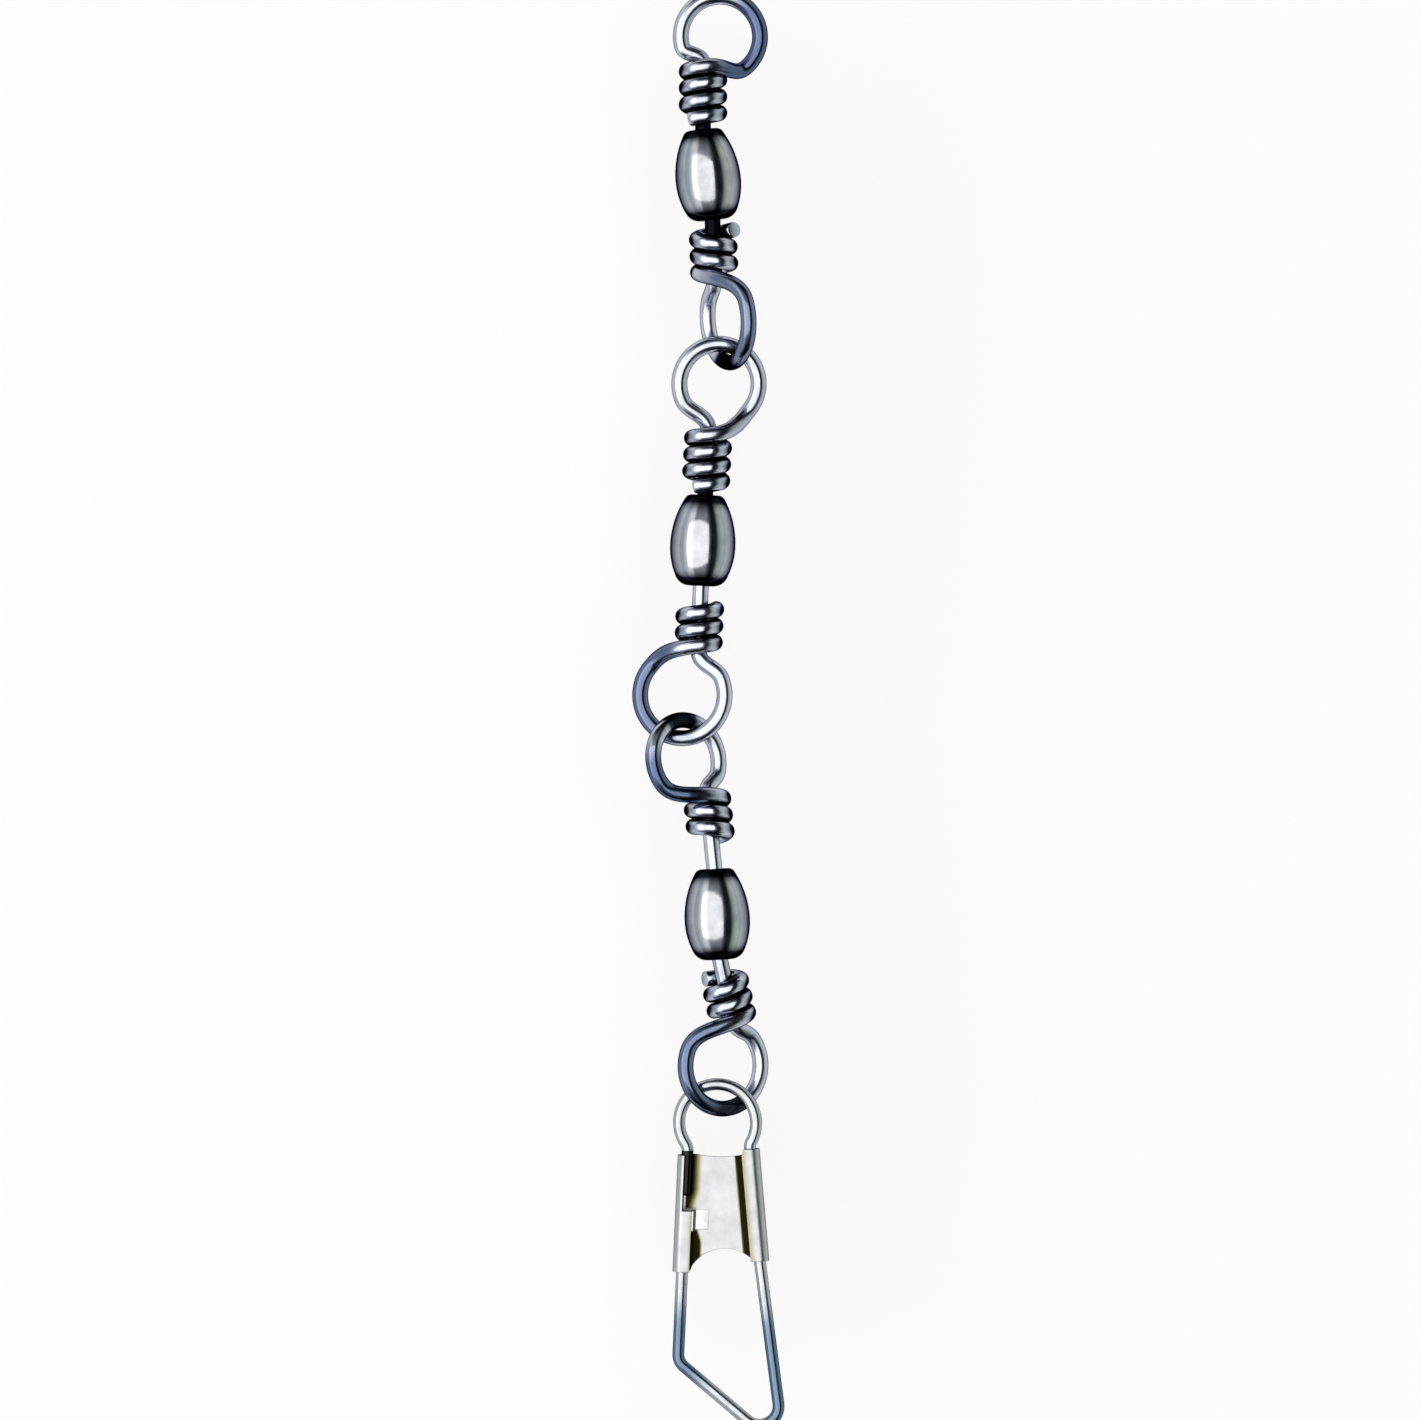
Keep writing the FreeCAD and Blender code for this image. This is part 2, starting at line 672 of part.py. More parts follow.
def pulled_apart(fixed, moved, heading, gap, taut):
    """How far the second loop moves along a heading, from a taut link back to the first place
    where the two wires clear each other by the gap."""

    def is_clear(distance):
        return nearest(fixed, [point + heading * distance for point in moved]) > gap

    step = taut / LINK_STEPS
    distance = taut
    while distance > step and not is_clear(distance):
        distance -= step
    for _ in range(LINK_HALVINGS):
        step = step / 2
        distance += step if is_clear(distance + step) else 0
    return distance


class Chain:
    """Where every node lies, worked out link by link from the line eye down to the snap."""

    def __init__(self, sheet):
        self.sheet = sheet
        self.eyes = {name: Eye(sheet, name) for name in EYES}
        self.places = {}
        self.lay()

    def lay(self):
        """Place the first barrel on the surface, then each linked swivel and the snap."""
        height = self.sheet.barrel_dia / 2
        self.place_swivel("swivel1", Vector(0, 0, height), None)
        for above, below, link in (("swivel1", "swivel2", 1), ("swivel2", "swivel3", 2)):
            rotation = self.eyes[f"{below}_upper"].rotation()
            centre = rotation.multVec(self.eyes[f"{below}_upper"].centre)
            target = self.linked_centre(above, link, rotation, f"{below}_upper", height + centre.z)
            self.place_swivel(below, target - centre, "upper")
        self.place_snap()

    def place_swivel(self, swivel, point, held_at):
        """Place a barrel by its middle or by the hole of its upper end, with both of its eyes."""
        turn = Rotation(Vector(0, 0, 1), getattr(self.sheet, f"{swivel}_lean"))
        reach = Vector(0, (self.sheet.barrel_length - self.sheet.barrel_end_wall) / 2, 0)
        middle = point if held_at is None else point - turn.multVec(reach)
        self.places[f"{swivel}_barrel"] = Placement(middle, turn)
        for end, sign in (("upper", 1), ("lower", -1)):
            name = f"{swivel}_{end}"
            hole = middle + turn.multVec(reach * sign)
            self.places[f"{name}_eye"] = Placement(hole, self.eyes[name].rotation())

    def linked_centre(self, above, link, rotation, below, height):
        """Centre of the next loop: in line with the loop above, as far off as the link allows."""
        upper = self.eyes[f"{above}_lower"]
        place = self.places[f"{above}_lower_eye"]
        fixed = [place.multVec(point) for point in upper.loop_points()]
        centre = place.multVec(upper.centre)
        base = Vector(centre.x, centre.y, height)
        eye = self.eyes[below]
        moved = [base + rotation.multVec(point - eye.centre) for point in eye.loop_points()]
        heading = heading_on_surface(getattr(self.sheet, f"link{link}_lean"))
        gap = self.sheet.wire_dia + self.sheet.link_clearance
        taut = upper.radius + eye.radius - gap
        return base + heading * pulled_apart(fixed, moved, heading, gap, taut)

    def place_snap(self):
        """Link the snap's ring to the last eye and let its bow rest on the surface."""
        sheet = self.sheet
        turn = Rotation(Vector(0, 0, 1), sheet.snap_lean)
        pitch = Rotation(Vector(1, 0, 0), sheet.snap_pitch)
        rotation = turn * pitch * Rotation(Vector(0, 1, 0), sheet.snap_roll)
        frame = SnapFrame(sheet)
        bow = frame.arm_centreline().discretize(Number=LINK_POINTS)
        lowest = min(rotation.multVec(point).z for point in bow)
        height = sheet.snap_wire_dia / 2 - lowest
        upper = self.eyes["swivel3_lower"]
        place = self.places["swivel3_lower_eye"]
        fixed = [place.multVec(point) for point in upper.loop_points()]
        centre = place.multVec(upper.centre)
        base = Vector(centre.x, centre.y, height)
        ring = frame.main_centreline().Edges[2].discretize(Number=LINK_POINTS)
        moved = [base + rotation.multVec(point) for point in ring]
        heading = heading_on_surface(sheet.link3_lean)
        gap = (sheet.wire_dia + sheet.snap_wire_dia) / 2 + sheet.link_clearance
        taut = upper.radius + sheet.ring_radius - gap
        target = base + heading * pulled_apart(fixed, moved, heading, gap, taut)
        for node in ("snap_wire", "snap_arm", "snap_plate"):
            self.places[node] = Placement(target, rotation)


def build(doc):
    """Every sub-part as an object of the document, in place on the surface."""
    sheet = fill_sheet(doc)
    nodes = []
    for swivel in SWIVELS:
        nodes.append(build_eye(doc, sheet, f"{swivel}_upper"))
        nodes.append(build_barrel(doc, sheet, swivel))
        nodes.append(build_eye(doc, sheet, f"{swivel}_lower"))
    nodes.append(build_snap_wire(doc, sheet))
    nodes.append(build_snap_arm(doc, sheet))
    nodes.append(build_plate(doc, sheet))
    chain = Chain(sheet)
    for node in nodes:
        node.Placement = chain.places[node.Label]
    doc.recompute()
    centre_on_underside(nodes)
    doc.recompute()
    return nodes


def centre_on_underside(nodes):
    """Move every node so that the origin is the centre of the whole chain's underside."""
    box = FreeCAD.BoundBox()
    for node in nodes:
        box.add(node.Shape.optimalBoundingBox())
    shift = Vector(-box.Center.x, -box.Center.y, -box.ZMin)
    for node in nodes:
        node.Placement = Placement(shift, Rotation()) * node.Placement


def check(doc, nodes):
    """Stop before anything is written if an object failed or a solid isn't whole."""
    for item in doc.Objects:
        if {"Invalid", "Error"} & set(item.State):
            raise RuntimeError(f"{item.Label} did not build: {item.State}")
    for node in nodes:
        shape = node.Shape
        if shape.isNull() or not shape.isValid() or len(shape.Solids) != 1:
            raise RuntimeError(f"{node.Label} is not one valid solid")


def main():
    """Build the chain and write each node's shape to parts/NODE.step."""
    os.makedirs("parts", exist_ok=True)
    doc = FreeCAD.newDocument("snap_swivel")
    nodes = build(doc)
    check(doc, nodes)
    for node in nodes:
        node.Shape.exportStep(os.path.join("parts", f"{node.Label}.step"))
        print(node.Label, round(node.Shape.Volume, 2), "mm3")


if __name__ == "__main__":
    main()
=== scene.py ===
"""Looks of the fishing snap swivel: three barrel swivels linked eye to eye, and a safety snap.

Sizes are in millimetres, in the chain's own frame: +Y towards the line eye, +Z up.
"""
import json
import logging
import math
from collections.abc import Callable, Sequence
from dataclasses import dataclass, field
from enum import Enum

import bmesh
import bpy
from bpy.types import ID, ColorRamp, Material, Mesh, Node, NodeSocket, NodeTree, Object, World
from mathutils import Matrix, Vector


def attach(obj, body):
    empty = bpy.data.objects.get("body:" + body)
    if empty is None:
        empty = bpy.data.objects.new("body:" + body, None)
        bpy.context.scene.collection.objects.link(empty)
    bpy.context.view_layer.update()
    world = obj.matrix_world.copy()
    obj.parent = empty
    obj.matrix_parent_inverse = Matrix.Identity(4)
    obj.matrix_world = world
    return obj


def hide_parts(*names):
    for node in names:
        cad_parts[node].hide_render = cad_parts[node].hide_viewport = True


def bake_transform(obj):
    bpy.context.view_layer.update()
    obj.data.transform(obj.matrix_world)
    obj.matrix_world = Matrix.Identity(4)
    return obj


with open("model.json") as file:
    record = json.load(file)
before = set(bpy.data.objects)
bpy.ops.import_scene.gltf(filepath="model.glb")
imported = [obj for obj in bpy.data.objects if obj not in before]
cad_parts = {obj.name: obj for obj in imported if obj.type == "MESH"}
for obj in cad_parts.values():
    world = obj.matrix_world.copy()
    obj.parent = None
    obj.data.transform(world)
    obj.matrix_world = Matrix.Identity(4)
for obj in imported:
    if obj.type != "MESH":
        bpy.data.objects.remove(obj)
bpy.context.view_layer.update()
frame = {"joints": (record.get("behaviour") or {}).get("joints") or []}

MM = 0.001
log = logging.getLogger("snap_swivel")

# Two sizes or limits, and a place in the strip: share of its panel, sideways offset and height.
Pair = tuple[float, float]
Column = tuple[float, float, float]

# Depth of the painted shade on a wire, from 0 to 1, for an outward direction.
Shade = Callable[[Vector], float]

# One output of a node, or a node for its first output.
Feed = Node | NodeSocket

# Points this close are one point.
WELD = 1e-5


class Side(Enum):
    """Which side of its stem an eye's loop leans to, seen with the loop pointing up."""

    LEFT = -1
    RIGHT = 1


class End(Enum):
    """Which end of its barrel an eye leaves."""

    UPPER = "upper"
    LOWER = "lower"


def shares(count: int) -> list[float]:
    """Even steps from 0 to 1, with both ends."""
    return [step / count for step in range(count + 1)]


def share_between(value: float, low: float, high: float) -> float:
    """Straight rise from 0 at a low value to 1 at a high one."""
    return min(max((value - low) / (high - low), 0.0), 1.0)


def rise_between(value: float, low: float, high: float) -> float:
    """Smooth rise from 0 at a low value to 1 at a high one."""
    share = share_between(value, low, high)
    return share * share * (3 - 2 * share)


def linear(colour: str) -> tuple[float, float, float, float]:
    """Linear red, green, blue and alpha of an sRGB hex colour."""
    channels = [int(colour[place:place + 2], 16) / 255 for place in (1, 3, 5)]
    return *(c / 12.92 if c <= 0.04045 else ((c + 0.055) / 1.055) ** 2.4 for c in channels), 1.0


def add_node(tree: NodeTree, kind: str, inputs: dict[str | int, object], **settings: str) -> Node:
    """Add one node with its settings, plain input values and links.

    Args:
        tree: The node tree to add to.
        kind: The node's type name after ShaderNode.
        inputs: Input name or number to a plain value, or to what feeds it.
        **settings: Properties of the node itself.

    Returns:
        The new node.
    """
    node = tree.nodes.new(f"ShaderNode{kind}")
    for name, value in settings.items():
        setattr(node, name, value)
    for name, value in inputs.items():
        if isinstance(value, Node):
            value = value.outputs[0]
        if isinstance(value, NodeSocket):
            tree.links.new(value, node.inputs[name])
        else:
            node.inputs[name].default_value = value
    return node


def fresh_tree(owner: Material | World) -> NodeTree:
    """The node tree of a material or world, emptied."""
    owner.use_nodes = True
    owner.node_tree.nodes.clear()
    return owner.node_tree


def spread(tree: NodeTree, value: Feed, limits: Pair, ends: Pair = (0.0, 1.0)) -> Feed:
    """Add the node that spreads what lies between two limits over a range."""
    sizes = {"From Min": limits[0], "From Max": limits[1], "To Min": ends[0], "To Max": ends[1]}
    return add_node(tree, "MapRange", {"Value": value, **sizes})


def mixed(tree: NodeTree, share: object, low: object, top: object, how: str = "MIX") -> Feed:
    """Add the node that lays a share of one colour over another."""
    inputs = {"Factor": share, 6: low, 7: top}
    return add_node(tree, "Mix", inputs, data_type="RGBA", blend_type=how).outputs[2]


def set_ramp(ramp: ColorRamp, stops: Sequence[tuple[float, str]]) -> None:
    """Give a colour ramp its stops.

    Args:
        ramp: The ramp of a colour ramp node.
        stops: Position from 0 to 1 and sRGB hex colour of each stop, in order.
    """
    while len(ramp.elements) < len(stops):
        ramp.elements.new(1.0)
    for element, (position, colour) in zip(ramp.elements, stops):
        element.position = position
        element.color = linear(colour)


# Size of the patches of handling haze on all the metal, and the noise between bright and hazed.
HAZE_PATCH = 0.9
HAZE_LIMITS = (0.35, 0.7)

# Depths of the painted shade over which it tints the metal, and then hides it.
TINT_LIMITS = (0.0, 0.5)
HIDE_LIMITS = (0.4, 1.0)


@dataclass(frozen=True)
class BrightMetal:
    """A plated or unplated metal surface with grain in one direction, painted reflections and
    painted shade.
    """

    name: str
    clean: str
    hazed: str
    # Colour of the painted reflection.
    painted_reflection: str
    rim: str
    # Colours of the painted shade: where it tints the metal, and where it hides it.
    painted_shade_edge: str
    painted_shade: str
    roughness_low: float
    roughness_high: float
    grain_length: float
    grain_width: float
    grain_depth: float
    ripple_size: float
    ripple_depth: float

    def material(self) -> Material:
        """Build the material once and hand out the same one afterwards.

        Returns:
            The finished material.
        """
        if self.name in bpy.data.materials:
            return bpy.data.materials[self.name]
        made = bpy.data.materials.new(self.name)
        tree = fresh_tree(made)
        place = add_node(tree, "TexCoord", {}).outputs["Object"]
        patches = add_node(tree, "TexNoise", {
            "Vector": place, "Scale": 1 / (HAZE_PATCH * MM), "Detail": 4.0, "Roughness": 0.6,
        })
        haze = spread(tree, patches, HAZE_LIMITS)
        roughness = spread(tree, haze, (0.0, 1.0), (self.roughness_low, self.roughness_high))
        metal = add_node(tree, "BsdfPrincipled", {
            "Base Color": self.colour(tree, haze), "Metallic": 1.0, "Roughness": roughness,
            "Normal": self.grain(tree, place), "Specular Tint": linear(self.rim),
        })
        add_node(tree, "OutputMaterial", {"Surface": metal})
        return made

    def grain(self, tree: NodeTree, place: Feed) -> Feed:
        """Fine lines along the surface's own length, over a slow ripple.

        Args:
            tree: The material's tree.
            place: Metres in the piece's own space.

        Returns:
            The bumped normal.
        """
        surface = add_node(tree, "UVMap", {}, uv_map="surface")
        size = (1 / self.grain_length, 1 / self.grain_width, 1.0)
        lines = add_node(tree, "Mapping", {"Vector": surface, "Scale": size})
        drawn = add_node(tree, "TexNoise", {"Vector": lines, "Scale": 1.0, "Detail": 3.0})
        ripple = add_node(tree, "TexNoise", {
            "Vector": place, "Scale": 1 / (self.ripple_size * MM), "Detail": 1.0,
        })
        slow = add_node(tree, "Bump", {
            "Height": ripple, "Strength": 1.0, "Distance": self.ripple_depth * MM,
        })
        return add_node(tree, "Bump", {
            "Height": drawn, "Strength": 1.0, "Distance": self.grain_depth * MM, "Normal": slow,
        })

    def colour(self, tree: NodeTree, haze: Feed) -> Feed:
        """Clean and hazed metal, with its painted reflection, and with painted shade where the mesh
        asks for it.

        Args:
            tree: The material's tree.
            haze: From 0, bright, to 1, hazed.

        Returns:
            The base colour.
        """
        painted_reflection, painted_shade = (
            add_node(tree, "Attribute", {}, attribute_name=tone).outputs["Fac"]
            for tone in ("painted_reflection", "painted_shade")
        )
        shade = mixed(tree, haze, linear(self.clean), linear(self.hazed))
        # Painted reflection laid over the clean and hazed metal.
        shade = mixed(tree, painted_reflection, shade, linear(self.painted_reflection))
        # Painted shade in two steps: a dark tint, then near black.
        shade = mixed(tree, spread(tree, painted_shade, TINT_LIMITS), shade, linear(self.painted_shade_edge))
        return mixed(tree, spread(tree, painted_shade, HIDE_LIMITS), shade, linear(self.painted_shade))


# Nickel on brass wire that was drawn through a die, then plated: long faint lines and cool grey.
# Its blue-violet is a painted dark reflection on parts of the loops, and its darkest colours are
# painted shade.
DRAWN_NICKEL_WIRE = BrightMetal(
    name="nickel_plate_drawn_wire", clean="#C4C8D4", hazed="#B0B4C2", painted_reflection="#566482", rim="#141A30",
    painted_shade_edge="#3C404C", painted_shade="#0C0E14", roughness_low=0.12, roughness_high=0.24,
    grain_length=2.5, grain_width=0.09, grain_depth=0.002, ripple_size=1.6, ripple_depth=0.012,
)

# Brass turned on a lathe, tumbled smooth and plated: a mirror with rings too faint to count. Its
# slate blue is a painted dark reflection low on the flanks, and its darkest colours are painted
# shade.
TUMBLED_NICKEL_BARREL = BrightMetal(
    name="nickel_plate_turned_brass", clean="#B6B8BA", hazed="#A4A6AB", painted_reflection="#4A526E",
    rim="#060A20", painted_shade_edge="#24282E", painted_shade="#07090C",
    roughness_low=0.09, roughness_high=0.18,
    grain_length=3.0, grain_width=0.12, grain_depth=0.0012, ripple_size=2.2, ripple_depth=0.012,
)

# Stainless spring wire, cold drawn and left bright: harder, bluer and straighter lines. Its blue is
# a painted dark reflection on the bow, and its darkest colours are painted shade.
SPRING_STEEL_WIRE = BrightMetal(
    name="stainless_spring_wire", clean="#B8BABE", hazed="#A2A5AA", painted_reflection="#62768A", rim="#2C343E",
    painted_shade_edge="#44483C", painted_shade="#12140A", roughness_low=0.14, roughness_high=0.26,
    grain_length=4.0, grain_width=0.07, grain_depth=0.002, ripple_size=2.4, ripple_depth=0.01,
)

# Stainless strip, annealed bright, stamped and folded: satin, with painted shade beside the folds.
# Its palest colour is a painted highlight on the bend of the crimp.
ANNEALED_STRIP = BrightMetal(
    name="stainless_annealed_strip", clean="#B8B9BB", hazed="#ADAEB1", painted_reflection="#F2F1EC",
    rim="#5C5A64", painted_shade_edge="#8A8456", painted_shade="#17170A",
    roughness_low=0.28, roughness_high=0.38,
    grain_length=2.0, grain_width=0.06, grain_depth=0.002, ripple_size=1.8, ripple_depth=0.02,
)


def put(name: str, data: ID) -> Object:
    """Put new data into the scene as an object."""
    placed = bpy.data.objects.new(name, data)
    bpy.context.scene.collection.objects.link(placed)
    return placed


def finish_piece(mesh: Mesh, metal: BrightMetal, slot: str, *replaced: str) -> Object:
    """Put a mesh into the scene with its material, in the place of its CAD nodes.

    Args:
        mesh: The piece's mesh, in metres, in the chain's frame. The piece takes its name.
        metal: The finish it wears.
        slot: The record's material slot. Not used.
        *replaced: The CAD nodes that it stands for.

    Returns:
        The new object.
    """
    piece = put(mesh.name, mesh)
    mesh.materials.append(metal.material())
    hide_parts(*replaced)
    log.info("%s: %d faces", mesh.name, len(mesh.polygons))
    return piece


def grid_mesh(
    name: str, rows: list[Sequence[Vector]], spots: list[Sequence[Pair]],
    painted_shade: list[Sequence[float]], painted_reflection: list[Sequence[float]],
    is_kept: Callable[[int, int], bool] = lambda row, column: True,
) -> Mesh:
    """Join rows of points into a smooth mesh with surface coordinates.

    Args:
        name: Name of the mesh.
        rows: Points in millimetres, all rows of one length. A closed ring repeats its first point.
        spots: Millimetres along and around the surface at each point.
        painted_shade: Depth of the painted shade at each point, from 0 to 1.
        painted_reflection: Strength of the painted reflection at each point, from 0 to 1.
        is_kept: Whether the cell that starts at a row and column is part of the piece.

    Returns:
        The mesh, in metres.
    """
    wide = len(rows[0])
    ring = (rows[0][0] - rows[0][-1]).length < WELD
    across = wide - 1 if ring else wide
    faces, corners = [], []
    for row in range(len(rows) - 1):
        for column in range(wide - 1):
            if is_kept(row, column):
                cell = [(row, column), (row, column + 1), (row + 1, column + 1), (row + 1, column)]
                faces.append([r * across + c % across for r, c in cell])
                corners += [spots[r][c] for r, c in cell]
    mesh = bpy.data.meshes.new(name)
    mesh.from_pydata([point * MM for row in rows for point in row[:across]], [], faces)
    layer = mesh.uv_layers.new(name="surface")
    layer.data.foreach_set("uv", [value for corner in corners for value in corner])
    # Masks of the painted shade and the painted reflection.
    for tone, values in (("painted_shade", painted_shade), ("painted_reflection", painted_reflection)):
        kept = mesh.attributes.new(tone, "FLOAT", "POINT")
        kept.data.foreach_set("value", [value for row in values for value in row[:across]])
    mesh.polygons.foreach_set("use_smooth", [True] * len(mesh.polygons))
    mesh.update()
    return mesh


def joined(meshes: list[Mesh], is_welded: bool = True) -> Mesh:
    """Put meshes with the same layers into the first one.

    Args:
        meshes: The meshes. All but the first are removed afterwards.
        is_welded: Whether points that meet, as at the middle of a wire's end, become one.

    Returns:
        The first mesh with all of them.
    """
    work = bmesh.new()
    for mesh in meshes:
        work.from_mesh(mesh)
    if is_welded:
        bmesh.ops.remove_doubles(work, verts=work.verts, dist=WELD * MM)
        bmesh.ops.recalc_face_normals(work, faces=work.faces)
    work.to_mesh(meshes[0])
    work.free()
    for other in meshes[1:]:
        bpy.data.meshes.remove(other)
    return meshes[0]


# Degrees round the edge of a wire's cut end, and how many rounds it takes off the plain wire.
END_ANGLES = (90, 60, 30)
END_REACH = 1.5


@dataclass
class Strand:
    """A round wire along a line of points, with a small round at each cut end."""

    diameter: float
    sides: int = 32
    end_round: float = 0.09
    points: list[Vector] = field(default_factory=list)
    shading: list[Shade] = field(default_factory=list)
    painted_reflections: list[float] = field(default_factory=list)

    def follow(
        self, points: list[Vector], shade: Shade = lambda outward: 0.0,
        painted_reflections: list[float] | None = None,
    ) -> None:
        """Lengthen the wire along more points.

        Args:
            points: Points of the next stretch.
            shade: Depth of the painted shade on this stretch.
            painted_reflections: Strength of the painted reflection at each point, if this stretch
                has any.
        """
        for index, point in enumerate(points):
            if self.points and (point - self.points[-1]).length < WELD:
                continue
            self.points.append(point)
            self.shading.append(shade)
            self.painted_reflections.append(painted_reflections[index] if painted_reflections else 0.0)

    def capped(self) -> tuple[list[Vector], list[float], list[int]]:
        """The line with its rounded ends.

        Returns:
            Points, the wire's radius at each, and the number of the wire's own point behind each.
        """
        radius, points = self.diameter / 2, self.points
        first = (points[1] - points[0]).normalized()
        last = (points[-1] - points[-2]).normalized()
        steps = [math.radians(angle) for angle in END_ANGLES]
        shrink = [radius - self.end_round * (1 - math.cos(step)) for step in steps]
        reach = [self.end_round * (1 - math.sin(step)) for step in steps]
        inner = [index for index, point in enumerate(points) if self.is_inside(point)]
        line = [points[0] + first * distance for distance in reach]
        line += [points[index] for index in inner]
        line += [points[-1] - last * distance for distance in reversed(reach)]
        radii = shrink + [radius] * len(inner) + shrink[::-1]
        return line, radii, [0] * len(reach) + inner + [len(points) - 1] * len(reach)

    def is_inside(self, point: Vector) -> bool:
        """Whether a point is further from both ends than the round of the cut ends."""
        ends = (self.points[0], self.points[-1])
        return min((point - end).length for end in ends) > self.end_round * END_REACH

    def mesh(self, name: str, place: Matrix) -> Mesh:
        """Sweep the wire's round section along its line.

        Args:
            name: Name of the mesh.
            place: From the wire's own millimetres to the chain's.

        Returns:
            The mesh, in metres.
        """
        line, radii, owners = self.capped()
        headings = [
            (after - before).normalized()
            for before, after in zip([line[0], *line[:-1]], [*line[1:], line[-1]])
        ]
        side = headings[0].orthogonal().normalized()
        angles = [2 * math.pi * share for share in shares(self.sides)]
        rows, spots, painted_shades, painted_reflections, run = [], [], [], [], 0.0
        for index, (point, radius, owner) in enumerate(zip(line, radii, owners)):
            if index:
                run += (point - line[index - 1]).length
                side = headings[index - 1].rotation_difference(headings[index]) @ side
            across = headings[index].cross(side)
            outward = [side * math.cos(angle) + across * math.sin(angle) for angle in angles]
            ring = [place @ (point + out * radius) for out in outward]
            rows.append(ring[:-1] + ring[:1])
            spots.append([(run, angle * self.diameter / 2) for angle in angles])
            painted_shades.append([self.shading[owner](out) for out in outward])
            painted_reflections.append([self.painted_reflections[owner]] * len(angles))
        first, last = ([place @ line[end]] * len(angles) for end in (0, -1))
        spots, painted_shades, painted_reflections = ([kept[0], *kept, kept[-1]] for kept in (spots, painted_shades, painted_reflections))
        return grid_mesh(name, [first, *rows, last], spots, painted_shades, painted_reflections)


def lathe(
    name: str, outline: list[tuple[float, float, float]], place: Matrix, sides: int,
    painted_reflection: Callable[[float], float] = lambda angle: 0.0,
) -> Mesh:
    """Turn an outline about the Y axis.

    Args:
        name: Name of the mesh.
        outline: Radius, height and depth of the painted shade of each point.
        place: From the piece's own millimetres to the chain's.
        sides: Number of facets round the axis.
        painted_reflection: Strength of the painted reflection for an angle round the axis, from +X
            towards +Z.

    Returns:
        The mesh, in metres.
    """
    rows, spots, run, turns = [], [], 0.0, shares(sides)
    angles = [2 * math.pi * turn for turn in turns[:-1]] + [0.0]
    for (radius, height, _), before in zip(outline, outline[:1] + outline):
        run += math.hypot(radius - before[0], height - before[1])
        ring = [Vector((radius * math.cos(a), height, radius * math.sin(a))) for a in angles]
        rows.append([place @ point for point in ring])
        spots.append([(2 * math.pi * (radius or WELD) * turn, run) for turn in turns])
    painted_shades = [[depth] * len(turns) for _, _, depth in outline]
    painted_reflections = [[painted_reflection(angle) for angle in angles]] * len(outline)
    return grid_mesh(name, rows, spots, painted_shades, painted_reflections)


def straight(start: Vector, finish: Vector, count: int) -> list[Vector]:
    """Points of a straight run, in a number of steps."""
    return [start.lerp(finish, share) for share in shares(count)]


def curve(
    start: Vector, onward: Vector, finish: Vector, arriving: Vector, count: int
) -> list[Vector]:
    """Points of a cubic curve. Its handles are given as shares of the way that it bridges.

    Args:
        start: Where it starts.
        onward: Its handle there, along its direction.
        finish: Where it ends.
        arriving: Its handle there, along its direction.
        count: Number of steps.

    Returns:
        One more point than steps.
    """
    reach = (finish - start).length
    first, second = start + onward * reach, finish - arriving * reach
    points = []
    for t in shares(count):
        near, far = (1 - t) ** 2, t ** 2
        points.append(start * near * (1 - t) + first * 3 * near * t)
        points[-1] += second * 3 * far * (1 - t) + finish * far * t
    return points


def bend(start: Vector, centre: Vector, turn: float, count: int) -> list[Vector]:
    """Points of a round bend in the XY plane, by an angle that is positive anticlockwise."""
    spoke = start - centre
    return [centre + Matrix.Rotation(turn * share, 3, "Z") @ spoke for share in shares(count)]


def arc(start: Vector, centre: Vector, finish: Vector, count: int) -> list[Vector]:
    """Points of the shorter bend from one point to another round a centre."""
    first, last = start - centre, finish - centre
    return bend(start, centre, math.copysign(first.angle(last), first.cross(last).z), count)


def arch(left: complex, crown: complex, right: complex, x: float, sign: int) -> float:
    """Depth, at a sideways place, of a round edge through three points.

    Args:
        left: Its left end: sideways place, and depth as the imaginary part.
        crown: A point between its ends.
        right: Its right end.
        x: The sideways place.
        sign: 1 for an edge that sags and -1 for one that rises.

    Returns:
        The depth.
    """
    chords = (right - left) / (crown - left)
    centre = left + (crown - left) * (chords - abs(chords) ** 2) / (2j * chords.imag)
    return centre.imag + sign * math.sqrt(abs(left - centre) ** 2 - (x - centre.real) ** 2)


def joint_place(name: str) -> Vector:
    """Where a joint of the frame is, in millimetres."""
    found = next(joint for joint in frame["joints"] if joint["name"] == name)
    return Vector(found["pos_m"]) / MM


def spins(swivel: str) -> list[Vector]:
    """Where a swivel's upper and lower eye turn in its barrel."""
    return [joint_place(f"{swivel}_{end.value}_spin") for end in End]


def lay(position: Vector, swing: float, pitch: float, roll: float) -> Matrix:
    """Place of a piece rolled about its length, pitched, then swung on the floor, in degrees."""
    angles = (("Z", swing), ("X", pitch), ("Y", roll))
    turns = [Matrix.Rotation(math.radians(angle), 4, axis) for axis, angle in angles]
    return Matrix.Translation(position) @ turns[0] @ turns[1] @ turns[2]


# Steps of a wire along a short straight, the bends before and after a loop, the loop and one
# turn, and the facets round a head and steps of its rim.
STRAIGHT_STEPS, SHOULDER_STEPS, RETURN_STEPS, LOOP_STEPS, TURN_STEPS = 12, 24, 32, 90, 48
HEAD_SIDES, RIM_STEPS = 48, 6

# Necks between which the painted shade on the stem, next to the barrel, fades out.
NECK_SHADE = (0.3, 0.8)

# Shares of a loop over which the painted shade of its crown fades and its painted dark reflection
# strengthens, and of the return over which that reflection weakens.
CROWN_FADE, REFLECTION_RISE, REFLECTION_FALL = (0.06, 0.14), 0.2, (0.6, 1.0)

# Turns from an end of the winding over which a turn gets a neighbour, and how far a surface faces
# that neighbour where the painted shade between turns deepens.
NEIGHBOUR, BETWEEN_TURNS = (0.7, 1.0), (0.55, 0.95)

# How dark the painted shade on the flanks of the turns is, and how far a surface faces aside there.
FLANK_SHADE, TURN_FLANKS = 0.6, (0.55, 0.9)


